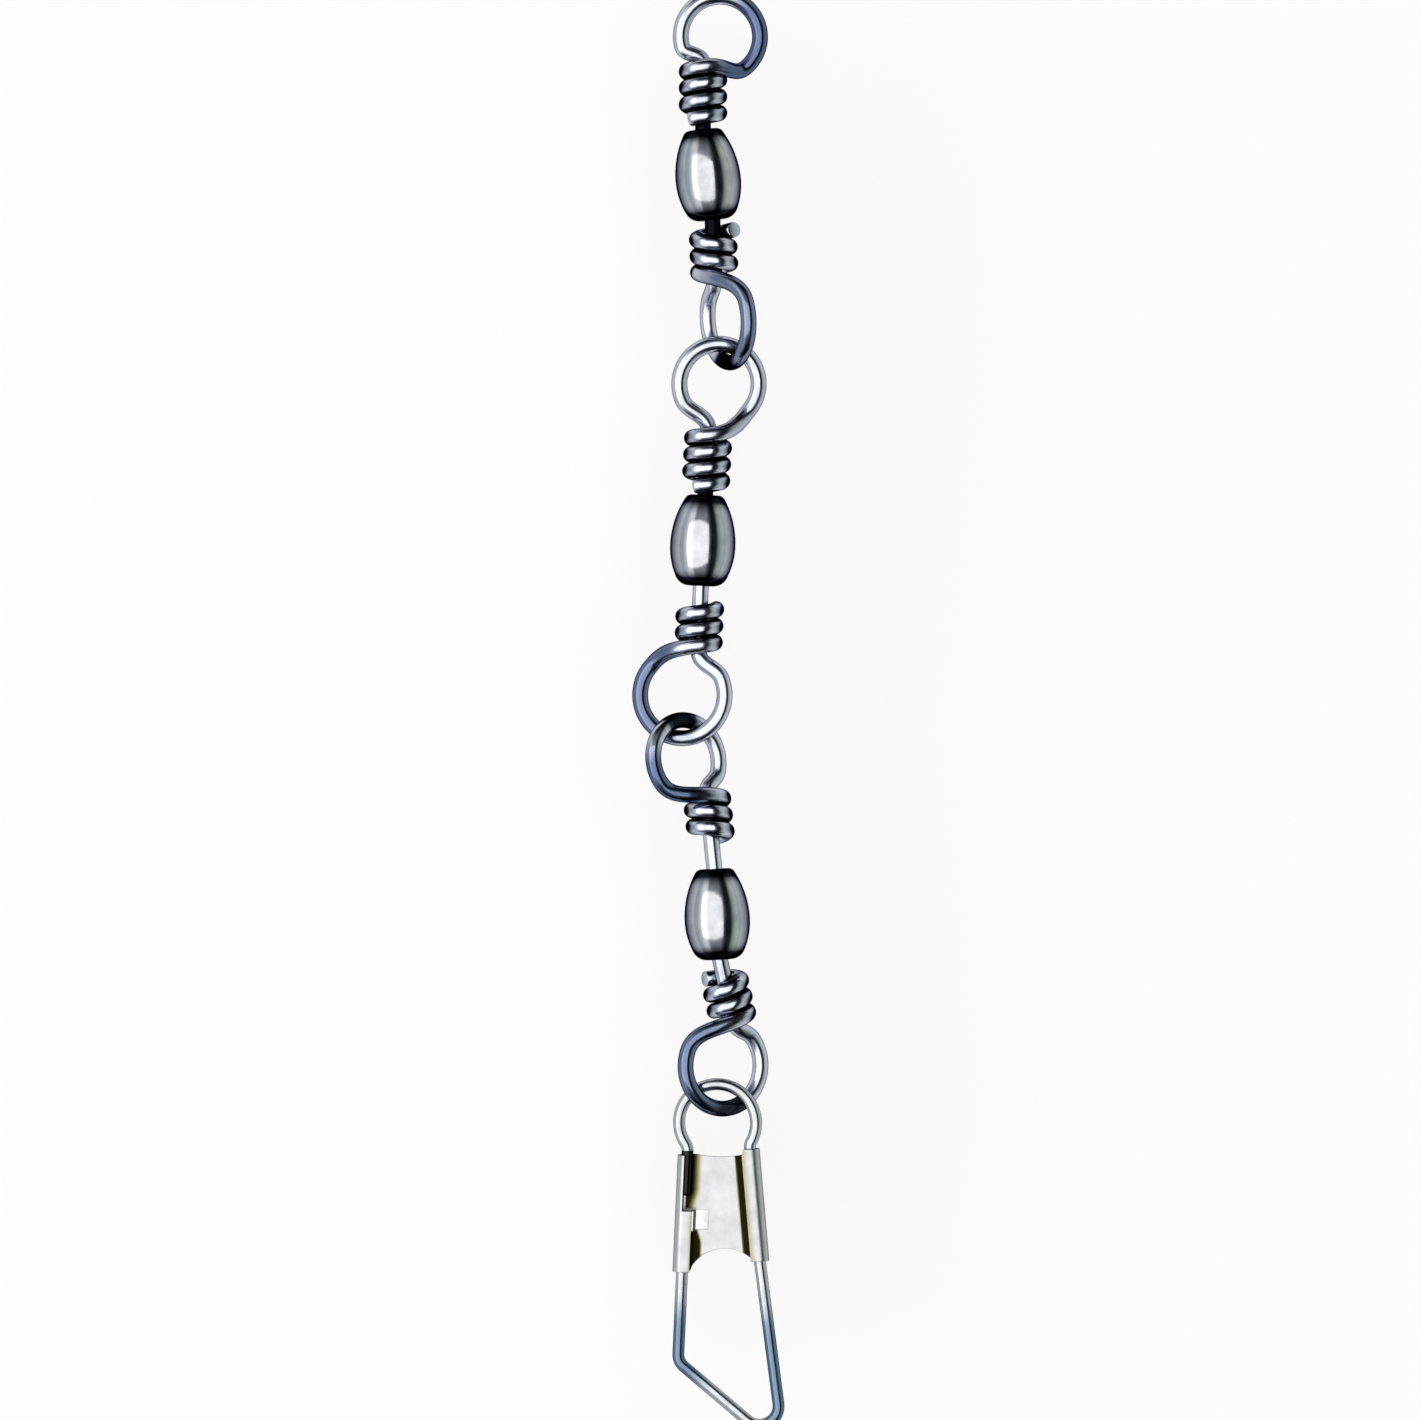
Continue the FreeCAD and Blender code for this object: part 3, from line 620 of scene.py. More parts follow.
@dataclass
class Eye:
    """A wire eye: head, stem, round loop and the turns that lock it round the stem."""

    swivel: str
    end: End
    neck: float
    turns: float
    rise: float
    offset: float
    shoulder: float
    close: float
    cut_end: float
    side: Side
    swing: float
    roll: float
    pitch: float
    painted_reflection: float
    reflection_from: float
    crown: float
    upper_radius: float = 2.5
    lower_radius: float = 2.7
    wire: float = 1.0
    wrap_clearance: float = 0.03
    end_wall: float = 0.45
    head_clearance: float = 0.15
    head_diameter: float = 1.6
    head_length: float = 0.8
    head_edge: float = 0.25
    run_out: float = 0.15
    outer_handle: float = 0.45
    loop_handle: float = 0.35

    def __post_init__(self) -> None:
        """Work out the places along the wire."""
        is_upper = self.end is End.UPPER
        self.radius = self.upper_radius if is_upper else self.lower_radius
        self.wrap = self.wire + self.wrap_clearance
        self.wrap_top = self.end_wall / 2 + self.neck + self.wire / 2 + self.turns * self.wrap
        self.centre = Vector((self.side.value * self.offset, self.wrap_top + self.rise, 0))
        swing = self.swing + (0 if is_upper else 180)
        self.turned = lay(Vector(), swing, self.pitch, self.roll)
        self.start = math.radians(180 + self.shoulder)
        self.finish = math.radians(-self.close)

    def on_loop(self, angle: float) -> Vector:
        """Point of the loop at an angle from the side it leans to."""
        reach = Vector((self.side.value * math.cos(angle), math.sin(angle), 0))
        return self.centre + reach * self.radius

    def along_loop(self, angle: float) -> Vector:
        """Direction of travel on the loop, over its top and down the side it leans to."""
        return Vector((self.side.value * math.sin(angle), -math.cos(angle), 0))

    def strand(self) -> Strand:
        """The bent wire as a strand, in the eye's own frame.

        Returns:
            Stem, shoulder, loop, return, turns and cut end.
        """
        wire = Strand(self.wire)
        foot = Vector((0, -self.end_wall / 2 - self.head_clearance - self.wire / 2, 0))
        stem_end = Vector((0, self.wrap_top + self.run_out, 0))
        # Painted shade on a short stem, in the gap between the turns and the barrel.
        shaded = 1 - rise_between(self.neck, *NECK_SHADE)
        wire.follow(straight(foot, stem_end, STRAIGHT_STEPS), lambda outward: shaded)
        begin, arriving = self.on_loop(self.start), self.along_loop(self.start) * self.loop_handle
        up = Vector((0, self.outer_handle, 0))
        wire.follow(curve(stem_end, up, begin, arriving, SHOULDER_STEPS))
        for share in shares(LOOP_STEPS):
            point = self.on_loop(self.start + (self.finish - self.start) * share)
            # Painted shade on the crown where it meets the next link, and a painted dark reflection
            # on part of the loop.
            crown_shade = self.crown * (1 - rise_between(abs(share - 0.5), *CROWN_FADE))
            painted_reflection = self.painted_reflection * rise_between(share, self.reflection_from, self.reflection_from + REFLECTION_RISE)
            wire.follow([point], lambda outward, depth=crown_shade: depth, [painted_reflection])
        crossing = Vector((0, self.wrap_top, self.wrap))
        into_turns = Vector((-self.side.value, -1 / (2 * math.pi), 0)).normalized()
        last, onward = self.on_loop(self.finish), self.along_loop(self.finish) * self.loop_handle
        run = curve(last, onward, crossing, into_turns * self.outer_handle, RETURN_STEPS)
        # The painted dark reflection fades along the return.
        thin = [1 - rise_between(share, *REFLECTION_FALL) for share in shares(RETURN_STEPS)]
        wire.follow(run, painted_reflections=[self.painted_reflection * share for share in thin])
        self.wind(wire)
        return wire

    def wind(self, wire: Strand) -> None:
        """Wind the turns round the stem, from the crossing in front down towards the barrel.

        Args:
            wire: The strand to lengthen.
        """
        for share in shares(round(self.turns * TURN_STEPS)):
            turned = self.turns * share
            angle = 2 * math.pi * turned
            wire.follow([Vector((
                -self.side.value * self.wrap * math.sin(angle),
                self.wrap_top - turned * self.wrap,
                self.wrap * math.cos(angle),
            ))], self.shade_of_turn(turned))
        along = (wire.points[-1] - wire.points[-2]).normalized()
        wire.follow([wire.points[-1] + along * self.cut_end])

    def shade_of_turn(self, turned: float) -> Shade:
        """Depth of the painted shade round the wire, between touching turns and on the turns'
        flanks.

        Args:
            turned: Turns wound so far.

        Returns:
            A function from an outward direction to a depth.
        """
        above = share_between(turned, *NEIGHBOUR)
        below = share_between(self.turns - turned, *NEIGHBOUR)

        def depth(outward: Vector) -> float:
            """Depth for one outward direction."""
            neighbour = above if outward.y > 0 else below
            between = neighbour * share_between(abs(outward.y), *BETWEEN_TURNS)
            aside = abs((self.turned.to_3x3() @ outward).x)
            return max(between, FLANK_SHADE * rise_between(aside, *TURN_FLANKS))

        return depth

    def head(self) -> list[tuple[float, float, float]]:
        """The head's turned outline, from its top to its foot.

        Returns:
            Radius, height and depth of the painted shade of each point.
        """
        top, edge = -self.end_wall / 2 - self.head_clearance, self.head_edge
        foot, face = top - self.head_length, self.head_diameter / 2 - edge
        turn = [math.pi / 2 * share for share in shares(RIM_STEPS)]
        rim = [(edge * math.sin(a), edge * math.cos(a)) for a in turn]
        upper = [(face + x, top - edge + y, 0.0) for x, y in rim]
        lower = [(face + y, foot + edge - x, 0.0) for x, y in rim]
        return [(0.0, top, 0.0), *upper, *lower, (0.0, foot, 0.0)]

    def build(self) -> None:
        """Make the eye's wire and head as one piece on its own body."""
        node = f"{self.swivel}_{self.end.value}_eye"
        position = joint_place(f"{self.swivel}_{self.end.value}_spin")
        place = Matrix.Translation(position) @ self.turned
        wire = self.strand().mesh(f"{node}_bent", place)
        mesh = joined([wire, lathe(f"{node}_head", self.head(), place, HEAD_SIDES)])
        piece = finish_piece(mesh, DRAWN_NICKEL_WIRE, "eye_wire", node)
        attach(piece, node)


# How far the painted shade reaches over the ends of a barrel from its holes, and how dark it is.
END_SHADE_REACH, END_SHADE_DEPTH = 1.1, 0.85

# Strength of the painted dark reflection low on a barrel, and how far its upper half faces aside
# where it starts.
FLANK_REFLECTION, BARREL_FLANKS = 0.6, (0.6, 0.95)

# Facets round a barrel, and steps of its outline round an end and along half a side.
BARREL_SIDES, ROUND_STEPS, SIDE_STEPS = 128, 12, 20


@dataclass
class Barrel:
    """A hollow turned barrel with rounded ends and a hole at each end for an eye's stem."""

    swivel: str
    diameter: float = 4.1
    length: float = 5.7
    belly_height: float = 2.5
    top_diameter: float = 2.2
    foot_diameter: float = 2.6
    top_round: float = 0.45
    foot_round: float = 0.95
    wall: float = 0.45
    end_wall: float = 0.45
    hole: float = 1.3
    hole_edge: float = 0.06

    def flank(self, sign: int, inset: float) -> list[Pair]:
        """Half of the barrel's side, from its end face to its belly.

        Args:
            sign: 1 for the upper half and -1 for the lower half.
            inset: How far inside the outer side it runs. Only the outer side has a round end.

        Returns:
            Radius and height of each point.
        """
        belly = -self.length / 2 + self.belly_height
        drop = (self.diameter - (self.top_diameter if sign > 0 else self.foot_diameter)) / 2
        bow = (drop ** 2 + (sign * self.length / 2 - belly) ** 2) / (2 * drop)
        middle, reach, points = self.diameter / 2 - bow, bow - inset, []
        if inset:
            start = math.asin((sign * (self.length / 2 - self.end_wall) - belly) / reach)
        else:
            rounding = self.top_round if sign > 0 else self.foot_round
            level = abs(sign * self.length / 2 - belly) - rounding
            across = math.sqrt((bow - rounding) ** 2 - level ** 2)
            start = math.atan2(level, across)
            turn = [math.pi / 2 + (start - math.pi / 2) * share for share in shares(ROUND_STEPS)]
            fillet = [(rounding * math.cos(a), rounding * math.sin(a)) for a in turn]
            points = [(middle + across + x, belly + sign * (level + y)) for x, y in fillet]
            start *= sign
        side = [start * (1 - share) for share in shares(SIDE_STEPS)]
        return points + [(middle + reach * math.cos(a), belly + reach * math.sin(a)) for a in side]

    def outline(self) -> list[tuple[float, float, float]]:
        """The whole wall's outline: down the outside, then back up the inside.

        Returns:
            Radius, height and depth of the painted shade of each point: full inside the barrel and
            in its holes, and fading from the ends outside.
        """
        top, inner = self.length / 2, self.length / 2 - self.end_wall
        hole, edge = self.hole / 2, self.hole_edge
        outside = self.flank(1, 0) + self.flank(-1, 0)[::-1]
        inside = self.flank(-1, self.wall) + self.flank(1, self.wall)[::-1]
        # Painted shade: full in the holes and the hollow, and outside fading from both ends towards
        # the belly.
        points = [(hole, inner, 1.0), (hole, top - edge, 1.0)]
        for radius, height in [(hole + edge, top), *outside, (hole + edge, -top)]:
            shaded = rise_between(abs(height) - top, -END_SHADE_REACH, 0.0)
            points.append((radius, height, END_SHADE_DEPTH * shaded))
        inside = [(hole, edge - top), (hole, -inner), *inside, (hole, inner)]
        return points + [(radius, height, 1.0) for radius, height in inside]

    @staticmethod
    def painted_reflection(angle: float) -> float:
        """Strength of the painted dark reflection, on the flanks and underside of the barrel."""
        low = 1.0 if math.sin(angle) < 0 else rise_between(abs(math.cos(angle)), *BARREL_FLANKS)
        return FLANK_REFLECTION * low

    def build(self) -> None:
        """Turn the barrel between the holes that hold its two eyes."""
        node = f"{self.swivel}_barrel"
        upper, lower = spins(self.swivel)
        axis = upper - lower
        place = lay((upper + lower) / 2, -math.degrees(math.atan2(axis.x, axis.y)), 0, 0)
        mesh = lathe(f"{node}_turned", self.outline(), place, BARREL_SIDES, self.painted_reflection)
        piece = finish_piece(joined([mesh]), TUMBLED_NICKEL_BARREL, "barrel", node)
        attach(piece, node)


# Steps of the snap's wire along its necks, its ring, the bends of its bow and their straights.
NECK_STEPS, RING_STEPS, BEND_STEPS, BOW_STEPS = 16, 96, 20, (30, 50, 40, 30)

# Painted shade on the wire's end in the fold behind the slot.
FOLD_SHADE = 0.85

# The wire's painted blue reflection: ways over which it starts below the strip, and ways past the
# knee and before the leg over which the diagonal has none.
BLUE_BELOW, UNPAINTED_FROM_KNEE, UNPAINTED_FROM_LEG = (0.8, 3.4), (0.6, 2.4), (0.9, 1.6)

# Columns of the strip along a lip, the left fold below the slot, the panel and the right fold,
# shares of the right lip where the panel gets more, and columns that the slot takes away.
LIP_STEPS, LEFT_FOLD_STEPS, PANEL_STEPS, RIGHT_FOLD_STEPS = 4, 18, 48, 20
UNDER_LIP, SLOT_COLUMNS = (0.95, 0.7, 0.4), 6

# Rows of the strip along the slot, the crimp and below it, rounds that find where a column meets
# an edge, and the grain's step between columns.
STRIP_ROWS, EDGE_ROUNDS, STRIP_STEP = (30, 12, 24), 12, 0.1

# Painted shade on the edge of a lip: how dark it is, how far it reaches, and how much less on the
# left.
LIP_SHADE, LIP_REACH, LEFT_LIP_LESS = 0.4, 0.4, 0.1

# Painted shade on the panel: the way over which it fades past the trough beside the right lip; ways
# from the leg over which it fades beside the slot, and how much narrower it gets over which depth.
TROUGH_FADE, SLOT_FADE, SLOT_NARROWER, NARROWER_OVER = 0.12, (0.4, 1.0), 0.3, 1.3

# Below the crimp: ways from the lip over which the painted shade fades, how much wider it gets over
# which depths below the crimp's foot, and depths over which it sets in.
FOOT_FADE, FOOT_WIDER, WIDER_OVER, FOOT_SETS_IN = (0.2, 0.35), 0.3, (-0.2, 1.0), (-0.1, 0.1)

# Share of the crimp's reach over which it falls to the panel, how far its foot stands proud, its
# steps along the strip and towards the panel, and the painted highlight on its bend.
CRIMP_FALL, CRIMP_LIFT, CRIMP_ROWS, CRIMP_STEPS, CRIMP_HIGHLIGHT = 0.08, 0.07, 12, 16, 0.6

# Round that handling leaves on the cut edges of the strip.
EDGE_WEAR = 0.035


@dataclass
class Snap:
    """The safety snap: one bent spring wire and a strip folded over both of its legs."""

    swing: float = 0.0
    pitch: float = 5.1
    roll: float = -6.5
    wire: float = 0.75
    ring_radius: float = 2.42
    neck_bend: float = 0.7
    left_leg: float = 1.9
    right_leg: float = 2.04
    left_lean: float = 2.6
    right_lean: float = 5.0
    leg_lean: float = 7.45
    leg_bend: float = 6.0
    ring_end: float = 4.6
    arm_tip: float = 7.9
    knee_depth: float = 15.1
    knee_bend: float = 1.0
    corner_depth: float = 20.7
    corner_bend: float = 1.2
    sheet: float = 0.2
    fold_clearance: float = 0.03
    left_top: float = 2.05
    right_top: float = 1.6
    left_foot: float = 9.4
    right_foot: float = 8.65
    mouth_depth: float = 2.2
    mouth_offset: float = 0.1
    mouth_side: float = 2.05
    arch_depth: float = 8.03
    arch_offset: float = 0.9
    arch_side: float = 9.2
    left_lip: float = 0.5
    right_lip: float = 0.5
    slot_lip: float = -0.1
    crimp_top: float = 5.55
    crimp_length: float = 1.25
    crimp_reach: float = 1.0
    trough: float = 0.5

    def __post_init__(self) -> None:
        """Work out the lines of both legs, the corners of the bow and the place of the snap."""
        self.place = lay(joint_place("link3_hinge"), self.swing, self.pitch, self.roll)
        self.left_line = (Vector((-self.left_leg, -self.left_top, 0)), self.down(-self.left_lean))
        self.right_line = (Vector((self.right_leg, -self.right_top, 0)), self.down(self.right_lean))
        self.hip = self.at(self.right_line, self.right_foot)
        self.knee = self.at(self.left_line, self.knee_depth)
        self.corner = self.at((self.hip, self.down(self.leg_lean)), self.corner_depth)
        self.mid_radius = self.wire / 2 + self.fold_clearance + self.sheet / 2

    @staticmethod
    def down(lean: float) -> Vector:
        """Unit direction down the snap, leaning sideways by an angle in degrees."""
        turn = math.radians(lean)
        return Vector((math.sin(turn), -math.cos(turn), 0))

    @staticmethod
    def at(line: tuple[Vector, Vector], depth: float) -> Vector:
        """Point of a leg's line at a depth below the ring's centre."""
        origin, heading = line
        return origin + heading * ((-depth - origin.y) / heading.y)

    def neck(self, line: tuple[Vector, Vector], outward: int) -> list[Vector]:
        """Bend between a leg and the ring.

        Args:
            line: The leg's line.
            outward: -1 for the left leg and 1 for the right leg.

        Returns:
            Points from the leg to the ring.
        """
        origin, heading = line
        normal = Vector((-heading.y, heading.x, 0)) * outward
        base = origin + normal * self.neck_bend
        along = heading * base.dot(heading)
        far = self.ring_radius + self.neck_bend
        centre = base - along + heading * math.sqrt(far ** 2 - (base - along).length_squared)
        ring = centre * (self.ring_radius / far)
        return arc(centre - normal * self.neck_bend, centre, ring, NECK_STEPS)

    @staticmethod
    def rounded(before: Vector, vertex: Vector, after: Vector, radius: float) -> list[Vector]:
        """Points of a bend at a vertex of the bow.

        Args:
            before: A point on the way in.
            vertex: Where the two straight runs would meet.
            after: A point on the way out.
            radius: Radius of the bend.

        Returns:
            Points from one straight run to the other.
        """
        back, onward = (before - vertex).normalized(), (after - vertex).normalized()
        half = back.angle(onward) / 2
        centre = vertex + (back + onward).normalized() * (radius / math.sin(half))
        start, finish = (vertex + way * (radius / math.tan(half)) for way in (back, onward))
        return arc(start, centre, finish, BEND_STEPS)

    def strand(self) -> Strand:
        """The whole wire, from its end in the left fold round the ring and the bow to its tip.

        Returns:
            The wire as a strand, in the snap's own frame.
        """
        wire = Strand(self.wire)
        left, right = self.neck(self.left_line, -1), self.neck(self.right_line, 1)
        end = self.at(self.left_line, self.ring_end)
        # Painted shade on the wire's end inside the fold.
        wire.follow(straight(end, left[0], STRAIGHT_STEPS), lambda outward: FOLD_SHADE)
        start, finish = (math.atan2(neck[-1].y, neck[-1].x) for neck in (left, right))
        sweep = (finish - start) % (2 * math.pi) - 2 * math.pi
        wire.follow(left + bend(left[-1], Vector(), sweep, RING_STEPS) + right[::-1])
        stops = [right[0], self.hip, self.corner, self.knee, self.at(self.left_line, self.arm_tip)]
        radii = (self.leg_bend, self.corner_bend, self.knee_bend)
        bends = [self.rounded(*stops[at:at + 3], radius) for at, radius in enumerate(radii)]
        runs = [stops[:1], *bends, stops[-1:]]
        for before, after, count in zip(runs, runs[1:], BOW_STEPS):
            run = straight(before[-1], after[0], count) + after
            # Painted blue reflection on the legs below the strip and round the knee.
            wire.follow(run, painted_reflections=[self.painted_reflection(point) for point in run])
        return wire

    def painted_reflection(self, point: Vector) -> float:
        """Strength of the painted blue reflection, on both legs below the strip and round the knee.
        """
        off_knee = rise_between(point.x - self.knee.x, *UNPAINTED_FROM_KNEE)
        unpainted = off_knee * rise_between(self.corner.x - point.x, *UNPAINTED_FROM_LEG)
        return rise_between(-point.y - self.left_foot, *BLUE_BELOW) * (1 - unpainted)

    def build_wire(self) -> None:
        """Make the bent wire in place of the CAD wire and arm."""
        mesh = joined([self.strand().mesh("snap_spring_wire", self.place)])
        piece = finish_piece(mesh, SPRING_STEEL_WIRE, "snap_wire", "snap_wire", "snap_arm")
        pivot = joint_place("snap_arm_flex")
        gate = self.at(self.left_line, (self.ring_end + self.arm_tip) / 2)
        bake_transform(piece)

    def columns(self) -> list[Column]:
        """Places across the strip.

        Returns:
            From the left lip over the left fold, the panel and the right fold to the right lip.
        """
        r, quarter = self.mid_radius, math.pi / 2
        slot = math.acos(self.slot_lip / r)
        turn = [quarter, (quarter + slot) / 2]
        turn += [slot + (3 * quarter - slot) * share for share in shares(LEFT_FOLD_STEPS)]
        columns = [(0.0, self.left_lip * (1 - share), r) for share in shares(LIP_STEPS)[:-1]]
        columns += [(0.0, r * math.cos(angle), r * math.sin(angle)) for angle in turn]
        columns += [(share, -self.right_lip * share, -r) for share in shares(PANEL_STEPS)[1:]]
        columns += [(1.0, -self.right_lip * share, -r) for share in UNDER_LIP]
        turn = [math.pi * share - quarter for share in shares(RIGHT_FOLD_STEPS)]
        columns += [(1.0, r * math.cos(angle), r * math.sin(angle)) for angle in turn]
        return columns + [(1.0, -self.right_lip * share, r) for share in shares(LIP_STEPS)[1:]]

    def legs(self, depth: float) -> Pair:
        """Sideways places of the left and the right leg at a depth."""
        return self.at(self.left_line, depth).x, self.at(self.right_line, depth).x

    def across(self, column: Column, depth: float) -> float:
        """Sideways place of a column at a depth."""
        left, right = self.legs(depth)
        return left + (right - left) * column[0] + column[1]

    def top_edge(self, x: float) -> float:
        """The strip's upper edge, with its shallow mouth.

        Args:
            x: A sideways place.

        Returns:
            The depth of the edge there.
        """
        left = complex(self.left_lip - self.left_leg, self.left_top)
        right = complex(self.legs(self.mouth_side)[1] - self.right_lip, self.mouth_side)
        if x <= left.real:
            return self.left_top
        if x > right.real + WELD:
            return self.right_top
        return arch(left, complex(self.mouth_offset, self.mouth_depth), right, x, 1)

    def foot_edge(self, x: float) -> float:
        """The strip's lower edge, with its arch.

        Args:
            x: A sideways place.

        Returns:
            The depth of the edge there.
        """
        left = complex(self.legs(self.arch_side)[0] + self.left_lip, self.arch_side)
        right = complex(self.legs(self.right_foot)[1] - self.right_lip, self.right_foot)
        if x <= left.real:
            return self.left_foot
        if x >= right.real:
            return self.right_foot
        return arch(left, complex(self.arch_offset, self.arch_depth), right, x, -1)

    def depths(self, column: Column) -> list[float]:
        """Depths of the rows of one column, with rows on both edges of the crimp.

        Args:
            column: A column of the strip.

        Returns:
            The depths, from the upper edge to the lower one.
        """
        edges = []
        for edge in (self.top_edge, self.foot_edge):
            edges.append(self.left_foot / 2)
            for _ in range(EDGE_ROUNDS):
                edges[-1] = edge(self.across(column, edges[-1]))
        stops = [edges[0], self.crimp_top, self.crimp_top + self.crimp_length, edges[1]]
        rows = [stops[0]]
        for first, last, count in zip(stops, stops[1:], STRIP_ROWS):
            rows += [first + (last - first) * share for share in shares(count)[1:]]
        return rows

    def shade_of_strip(self, column: Column, depth: float) -> float:
        """Depth of the painted shade on the strip: full in the troughs beside the lips, slight on
        their edges.

        Args:
            column: A column of the strip.
            depth: A depth on it.

        Returns:
            The depth of the painted shade, from 0 to 1.
        """
        x, height, (left, right) = self.across(column, depth), column[2], self.legs(depth)
        before_right = right - self.right_lip - x
        past_left = x - left - self.left_lip
        if height > self.mid_radius - WELD:
            edge = -before_right if x > 0 else LEFT_LIP_LESS - past_left
            return LIP_SHADE * (1 - rise_between(edge, 0.0, LIP_REACH))
        if height > WELD - self.mid_radius:
            return 0.0
        trough = 1 - rise_between(before_right, self.trough, self.trough + TROUGH_FADE)
        if depth < self.crimp_top:
            shift = SLOT_NARROWER * rise_between(depth - self.crimp_top, -NARROWER_OVER, 0.0)
            beside = 1 - rise_between(x - left + shift, *SLOT_FADE)
        else:
            below = depth - self.crimp_top - self.crimp_length
            shift = FOOT_WIDER * rise_between(below, *WIDER_OVER)
            beside = rise_between(below, *FOOT_SETS_IN)
            beside *= 1 - rise_between(past_left - shift, *FOOT_FADE)
        return max(trough, beside)

    def build_strip(self) -> None:
        """Fold the strip over both legs, with its mouth, arch, slot and crimp."""
        columns = self.columns()
        grid = [list(zip(columns, row)) for row in zip(*map(self.depths, columns))]
        rows = [
            [self.place @ Vector((self.across(c, depth), -depth, c[2])) for c, depth in row]
            for row in grid
        ]
        spots = [[(row[i][1], i * STRIP_STEP) for i in range(len(row))] for row in grid]
        # Painted shade beside the lips and the slot; no painted reflection on the strip's own mesh.
        painted_shades = [[self.shade_of_strip(*spot) for spot in row] for row in grid]
        painted_highlight = [[0.0] * len(columns)] * len(grid)
        mesh = grid_mesh(
            "snap_folded_strip", rows, spots, painted_shades, painted_highlight,
            lambda row, column: not (row < STRIP_ROWS[0] and column < SLOT_COLUMNS),
        )
        whole = joined([mesh, self.crimp()], is_welded=False)
        piece = finish_piece(whole, ANNEALED_STRIP, "snap_plate", "snap_plate")
        thick = piece.modifiers.new("sheet", "SOLIDIFY")
        thick.thickness = self.sheet * MM
        thick.offset = 0.0
        edge = piece.modifiers.new("worn_edge", "BEVEL")
        edge.width = EDGE_WEAR * MM
        edge.segments = 2
        edge.limit_method = "ANGLE"
        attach(piece, "snap")

    def crimp(self) -> Mesh:
        """The tab of the left lip that is pressed down on to the panel below the slot.

        Returns:
            Its mesh, in metres.
        """
        parts = [share ** 2 for share in shares(CRIMP_STEPS)]
        falls = [min(share / CRIMP_FALL, 1.0) for share in parts]
        heights = [
            self.mid_radius * (1 - 2 * fall) + CRIMP_LIFT * (fall - share)
            for share, fall in zip(parts, falls)
        ]
        rows, spots = [], []
        for step in shares(CRIMP_ROWS):
            depth = self.crimp_top + self.crimp_length * step
            lip = self.legs(depth)[0] + self.left_lip
            line = [(lip + self.crimp_reach * share, -depth, z) for share, z in zip(parts, heights)]
            rows.append([self.place @ Vector(point) for point in line])
            spots.append([(depth, part * STRIP_STEP) for part in range(len(parts))])
        painted_shades = [[0.0] * len(parts)] * len(rows)
        # Painted highlight on the crimp's bend, palest at the lip.
        painted_highlight = [[CRIMP_HIGHLIGHT * (1 - share) for share in parts]] * len(rows)
        return grid_mesh("crimp", rows, spots, painted_shades, painted_highlight)

    def build(self) -> None:
        """Make both pieces of the snap."""
        self.build_wire()
        self.build_strip()


# Colour of the room from the left, -90 degrees, over the ceiling to the right, 90 degrees.
WALLS = (
    (-90, "#BAC0CE"), (-74, "#BCC2CC"), (-60, "#F8FAFC"), (-44, "#FFFFFF"), (-34, "#90949A"),
    (12, "#90949A"), (22, "#50545A"), (32, "#101418"), (50, "#202428"), (62, "#A8B0AA"),
    (76, "#C8D2CC"), (90, "#BCC6C4"),
)

# How much of that is left towards the chain's ends, by the sine of the way's angle.
END_WALLS = (
    (0.0, "#FFFFFF"), (0.62, "#FFFFFF"), (0.76, "#B0B0B0"), (0.86, "#303438"), (1.0, "#1C2024"),
)

# How much of the paper's white doesn't depend on the light, where it is seen or mirrored.
PAPER_GLOW = 0.7

# Strength of the palest wall.
WALL_LEVEL = 1.3


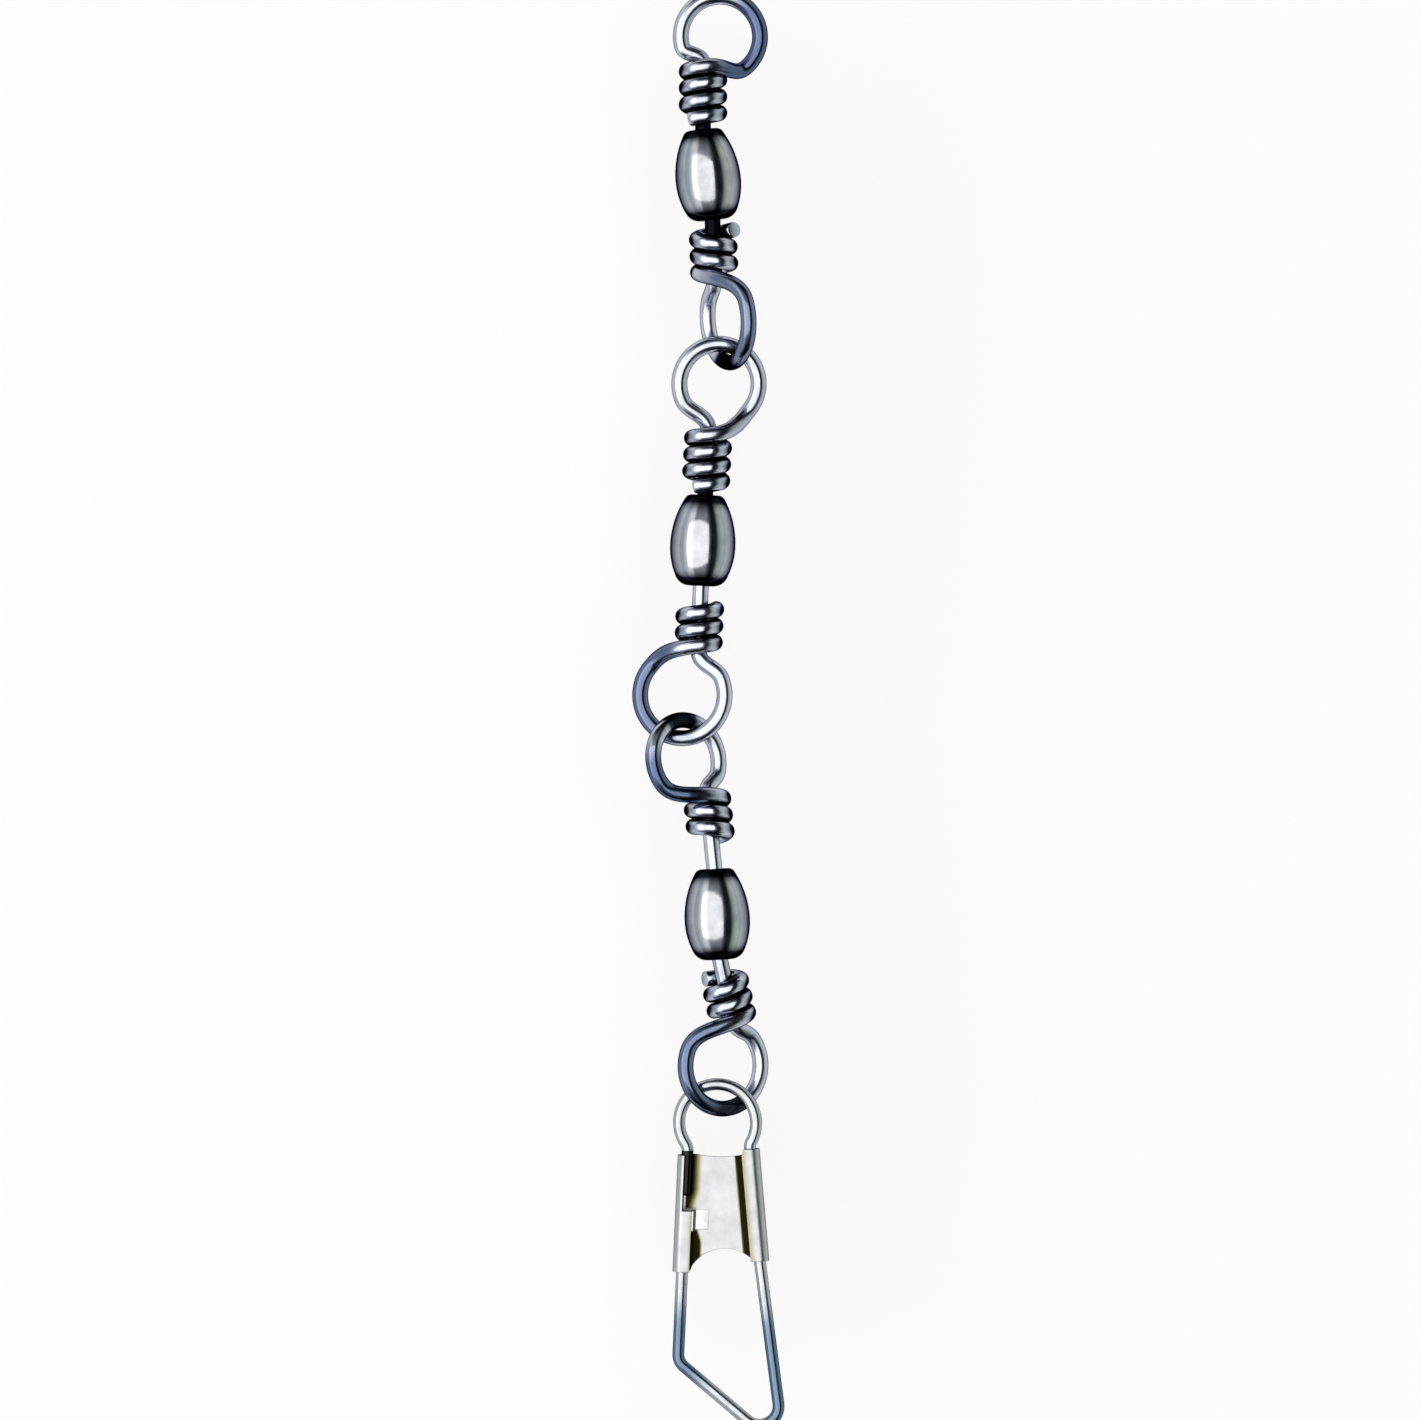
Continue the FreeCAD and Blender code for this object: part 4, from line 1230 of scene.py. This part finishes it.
@dataclass
class Studio:
    """White paper floor, one soft lamp, a dim room and the camera straight above.

    The lamp's place and size are in metres and its power in watts.
    """

    photo_width: float = 1420.0
    photo_scale: float = 16.0
    barrel_pixel: Pair = (703.0, 540.5)
    camera_height: float = 800.0
    sensor: float = 36.0
    floor_size: float = 8000.0
    paper_depth: float = 11.0
    lamp_place: tuple[float, float, float] = (-0.33, 0.0, 1.0)
    lamp_size: Pair = (1.35, 1.77)
    lamp_power: float = 11.9
    lamp_colour: str = "#FFFDF8"

    def build(self) -> None:
        """Lay the floor, light it and set the camera."""
        self.lay_floor()
        self.light_room()
        self.hang_lamp()
        self.set_camera()
        bpy.context.scene.view_settings.view_transform = "Standard"

    def lay_floor(self) -> None:
        """Lay a sheet of white paper so far under the chain that its links have room to swing."""
        half, low = self.floor_size / 2 * MM, -self.paper_depth * MM
        mesh = bpy.data.meshes.new("floor")
        corners = [(x * half, y * half, low) for x, y in ((-1, -1), (1, -1), (1, 1), (-1, 1))]
        mesh.from_pydata(corners, [], [(0, 1, 2, 3)])
        floor = put("floor", mesh)
        paper = bpy.data.materials.new("uncoated_white_paper")
        tree = fresh_tree(paper)
        white = {"Base Color": linear("#FBFBFB"), "Roughness": 0.9}
        matte = add_node(tree, "BsdfPrincipled", white)
        glow = add_node(tree, "Emission", {"Color": linear("#FFFFFF"), "Strength": 1.0})
        path = add_node(tree, "LightPath", {}).outputs
        seen = path["Is Camera Ray"]
        for kind in ("Is Glossy Ray", "Is Transmission Ray"):
            seen = add_node(tree, "Math", {0: seen, 1: path[kind]}, operation="MAXIMUM")
        share = add_node(tree, "Math", {0: seen, 1: PAPER_GLOW}, operation="MULTIPLY")
        surface = add_node(tree, "MixShader", {0: share, 1: matte, 2: glow})
        add_node(tree, "OutputMaterial", {"Surface": surface})
        mesh.materials.append(paper)

    def light_room(self) -> None:
        """Shade the room: pale walls low on both sides, dark ones beyond the chain's ends."""
        world = bpy.data.worlds.new("room")
        bpy.context.scene.world = world
        tree = fresh_tree(world)
        way = add_node(tree, "TexCoord", {}).outputs["Generated"]
        axes = add_node(tree, "SeparateXYZ", {0: way}).outputs
        angle = add_node(tree, "Math", {0: axes["X"], 1: axes["Z"]}, operation="ARCTAN2")
        side = spread(tree, angle, (-math.pi / 2, math.pi / 2))
        walls = add_node(tree, "ValToRGB", {0: side})
        set_ramp(walls.color_ramp, [(0.5 + place / 180, colour) for place, colour in WALLS])
        end = add_node(tree, "Math", {0: axes["Y"]}, operation="ABSOLUTE")
        ends = add_node(tree, "ValToRGB", {0: end})
        set_ramp(ends.color_ramp, END_WALLS)
        seen = mixed(tree, 1.0, walls, ends, "MULTIPLY")
        air = add_node(tree, "Background", {"Color": seen, "Strength": WALL_LEVEL})
        add_node(tree, "OutputWorld", {"Surface": air})

    def hang_lamp(self) -> None:
        """Hang the rectangular lamp over the chain and face it."""
        lamp = bpy.data.lights.new("overhead_softbox", "AREA")
        lamp.shape = "RECTANGLE"
        lamp.size, lamp.size_y = self.lamp_size
        lamp.energy = self.lamp_power
        lamp.color = linear(self.lamp_colour)[:3]
        held = put("overhead_softbox", lamp)
        held.location = self.lamp_place
        held.rotation_mode = "QUATERNION"
        held.rotation_quaternion = Vector(self.lamp_place).to_track_quat("Z", "Y")

    def set_camera(self) -> None:
        """Hang the camera over the point that the photograph has at its centre."""
        upper, lower = spins("swivel2")
        barrel = (upper + lower) / 2
        middle = self.photo_width / 2
        x = barrel.x + (middle - self.barrel_pixel[0]) / self.photo_scale
        y = barrel.y - (middle - self.barrel_pixel[1]) / self.photo_scale
        data = bpy.data.cameras.new("camera")
        data.sensor_width = self.sensor
        data.lens = self.sensor * self.camera_height / (self.photo_width / self.photo_scale)
        camera = put("camera", data)
        camera.location = Vector((x, y, barrel.z + self.camera_height)) * MM
        bpy.context.scene.camera = camera


# Each eye: its swivel and end; length of its neck, number of turns, rise of the loop's centre over
# them and its offset aside; degrees that the loop goes past half a circle at its shoulder and at
# its return; length of the cut end; the side it leans to; degrees of swing, roll and pitch;
# strength of its painted dark reflection, share of the loop where that starts, and painted shade
# on its crown.
EYES = (
    Eye("swivel1", End.UPPER, 0.2, 3.1, 1.92, 1.1, 15, 50, 0.35,
        Side.RIGHT, 0, 8, 0, 1.0, 0.42, 0.0),
    Eye("swivel1", End.LOWER, 0.25, 2.5, 2.85, 1.6, 20, 25, 0.8,
        Side.LEFT, 2, 62, -4, 0.8, 0.45, 0.8),
    Eye("swivel2", End.UPPER, 0.1, 3.1, 3.18, 0.5, 28, 35, 0.2,
        Side.RIGHT, -3, 8, 3, 0.1, 0.42, 0.0),
    Eye("swivel2", End.LOWER, 0.9, 2.3, 3.08, 0.9, 25, 35, 0.2,
        Side.RIGHT, -2.3, 12, 0, 0.9, 0.42, 0.1),
    Eye("swivel3", End.UPPER, 1.5, 2.4, 2.45, 1.3, 20, 35, 0.2,
        Side.LEFT, 6, 36, -5, 1.0, 0.68, 0.9),
    Eye("swivel3", End.LOWER, 0.7, 2.5, 2.7, 1.4, 25, 35, 0.8,
        Side.RIGHT, 12.3, -29, -7, 0.9, 0.42, 0.6),
)


def main() -> None:
    """Build the studio, the six eyes, the three barrels and the snap."""
    logging.basicConfig(level=logging.INFO, format="%(name)s: %(message)s")
    Studio().build()
    for eye in EYES:
        eye.build()
    for swivel in ("swivel1", "swivel2", "swivel3"):
        Barrel(swivel).build()
    Snap().build()


if __name__ == "__main__":
    main()
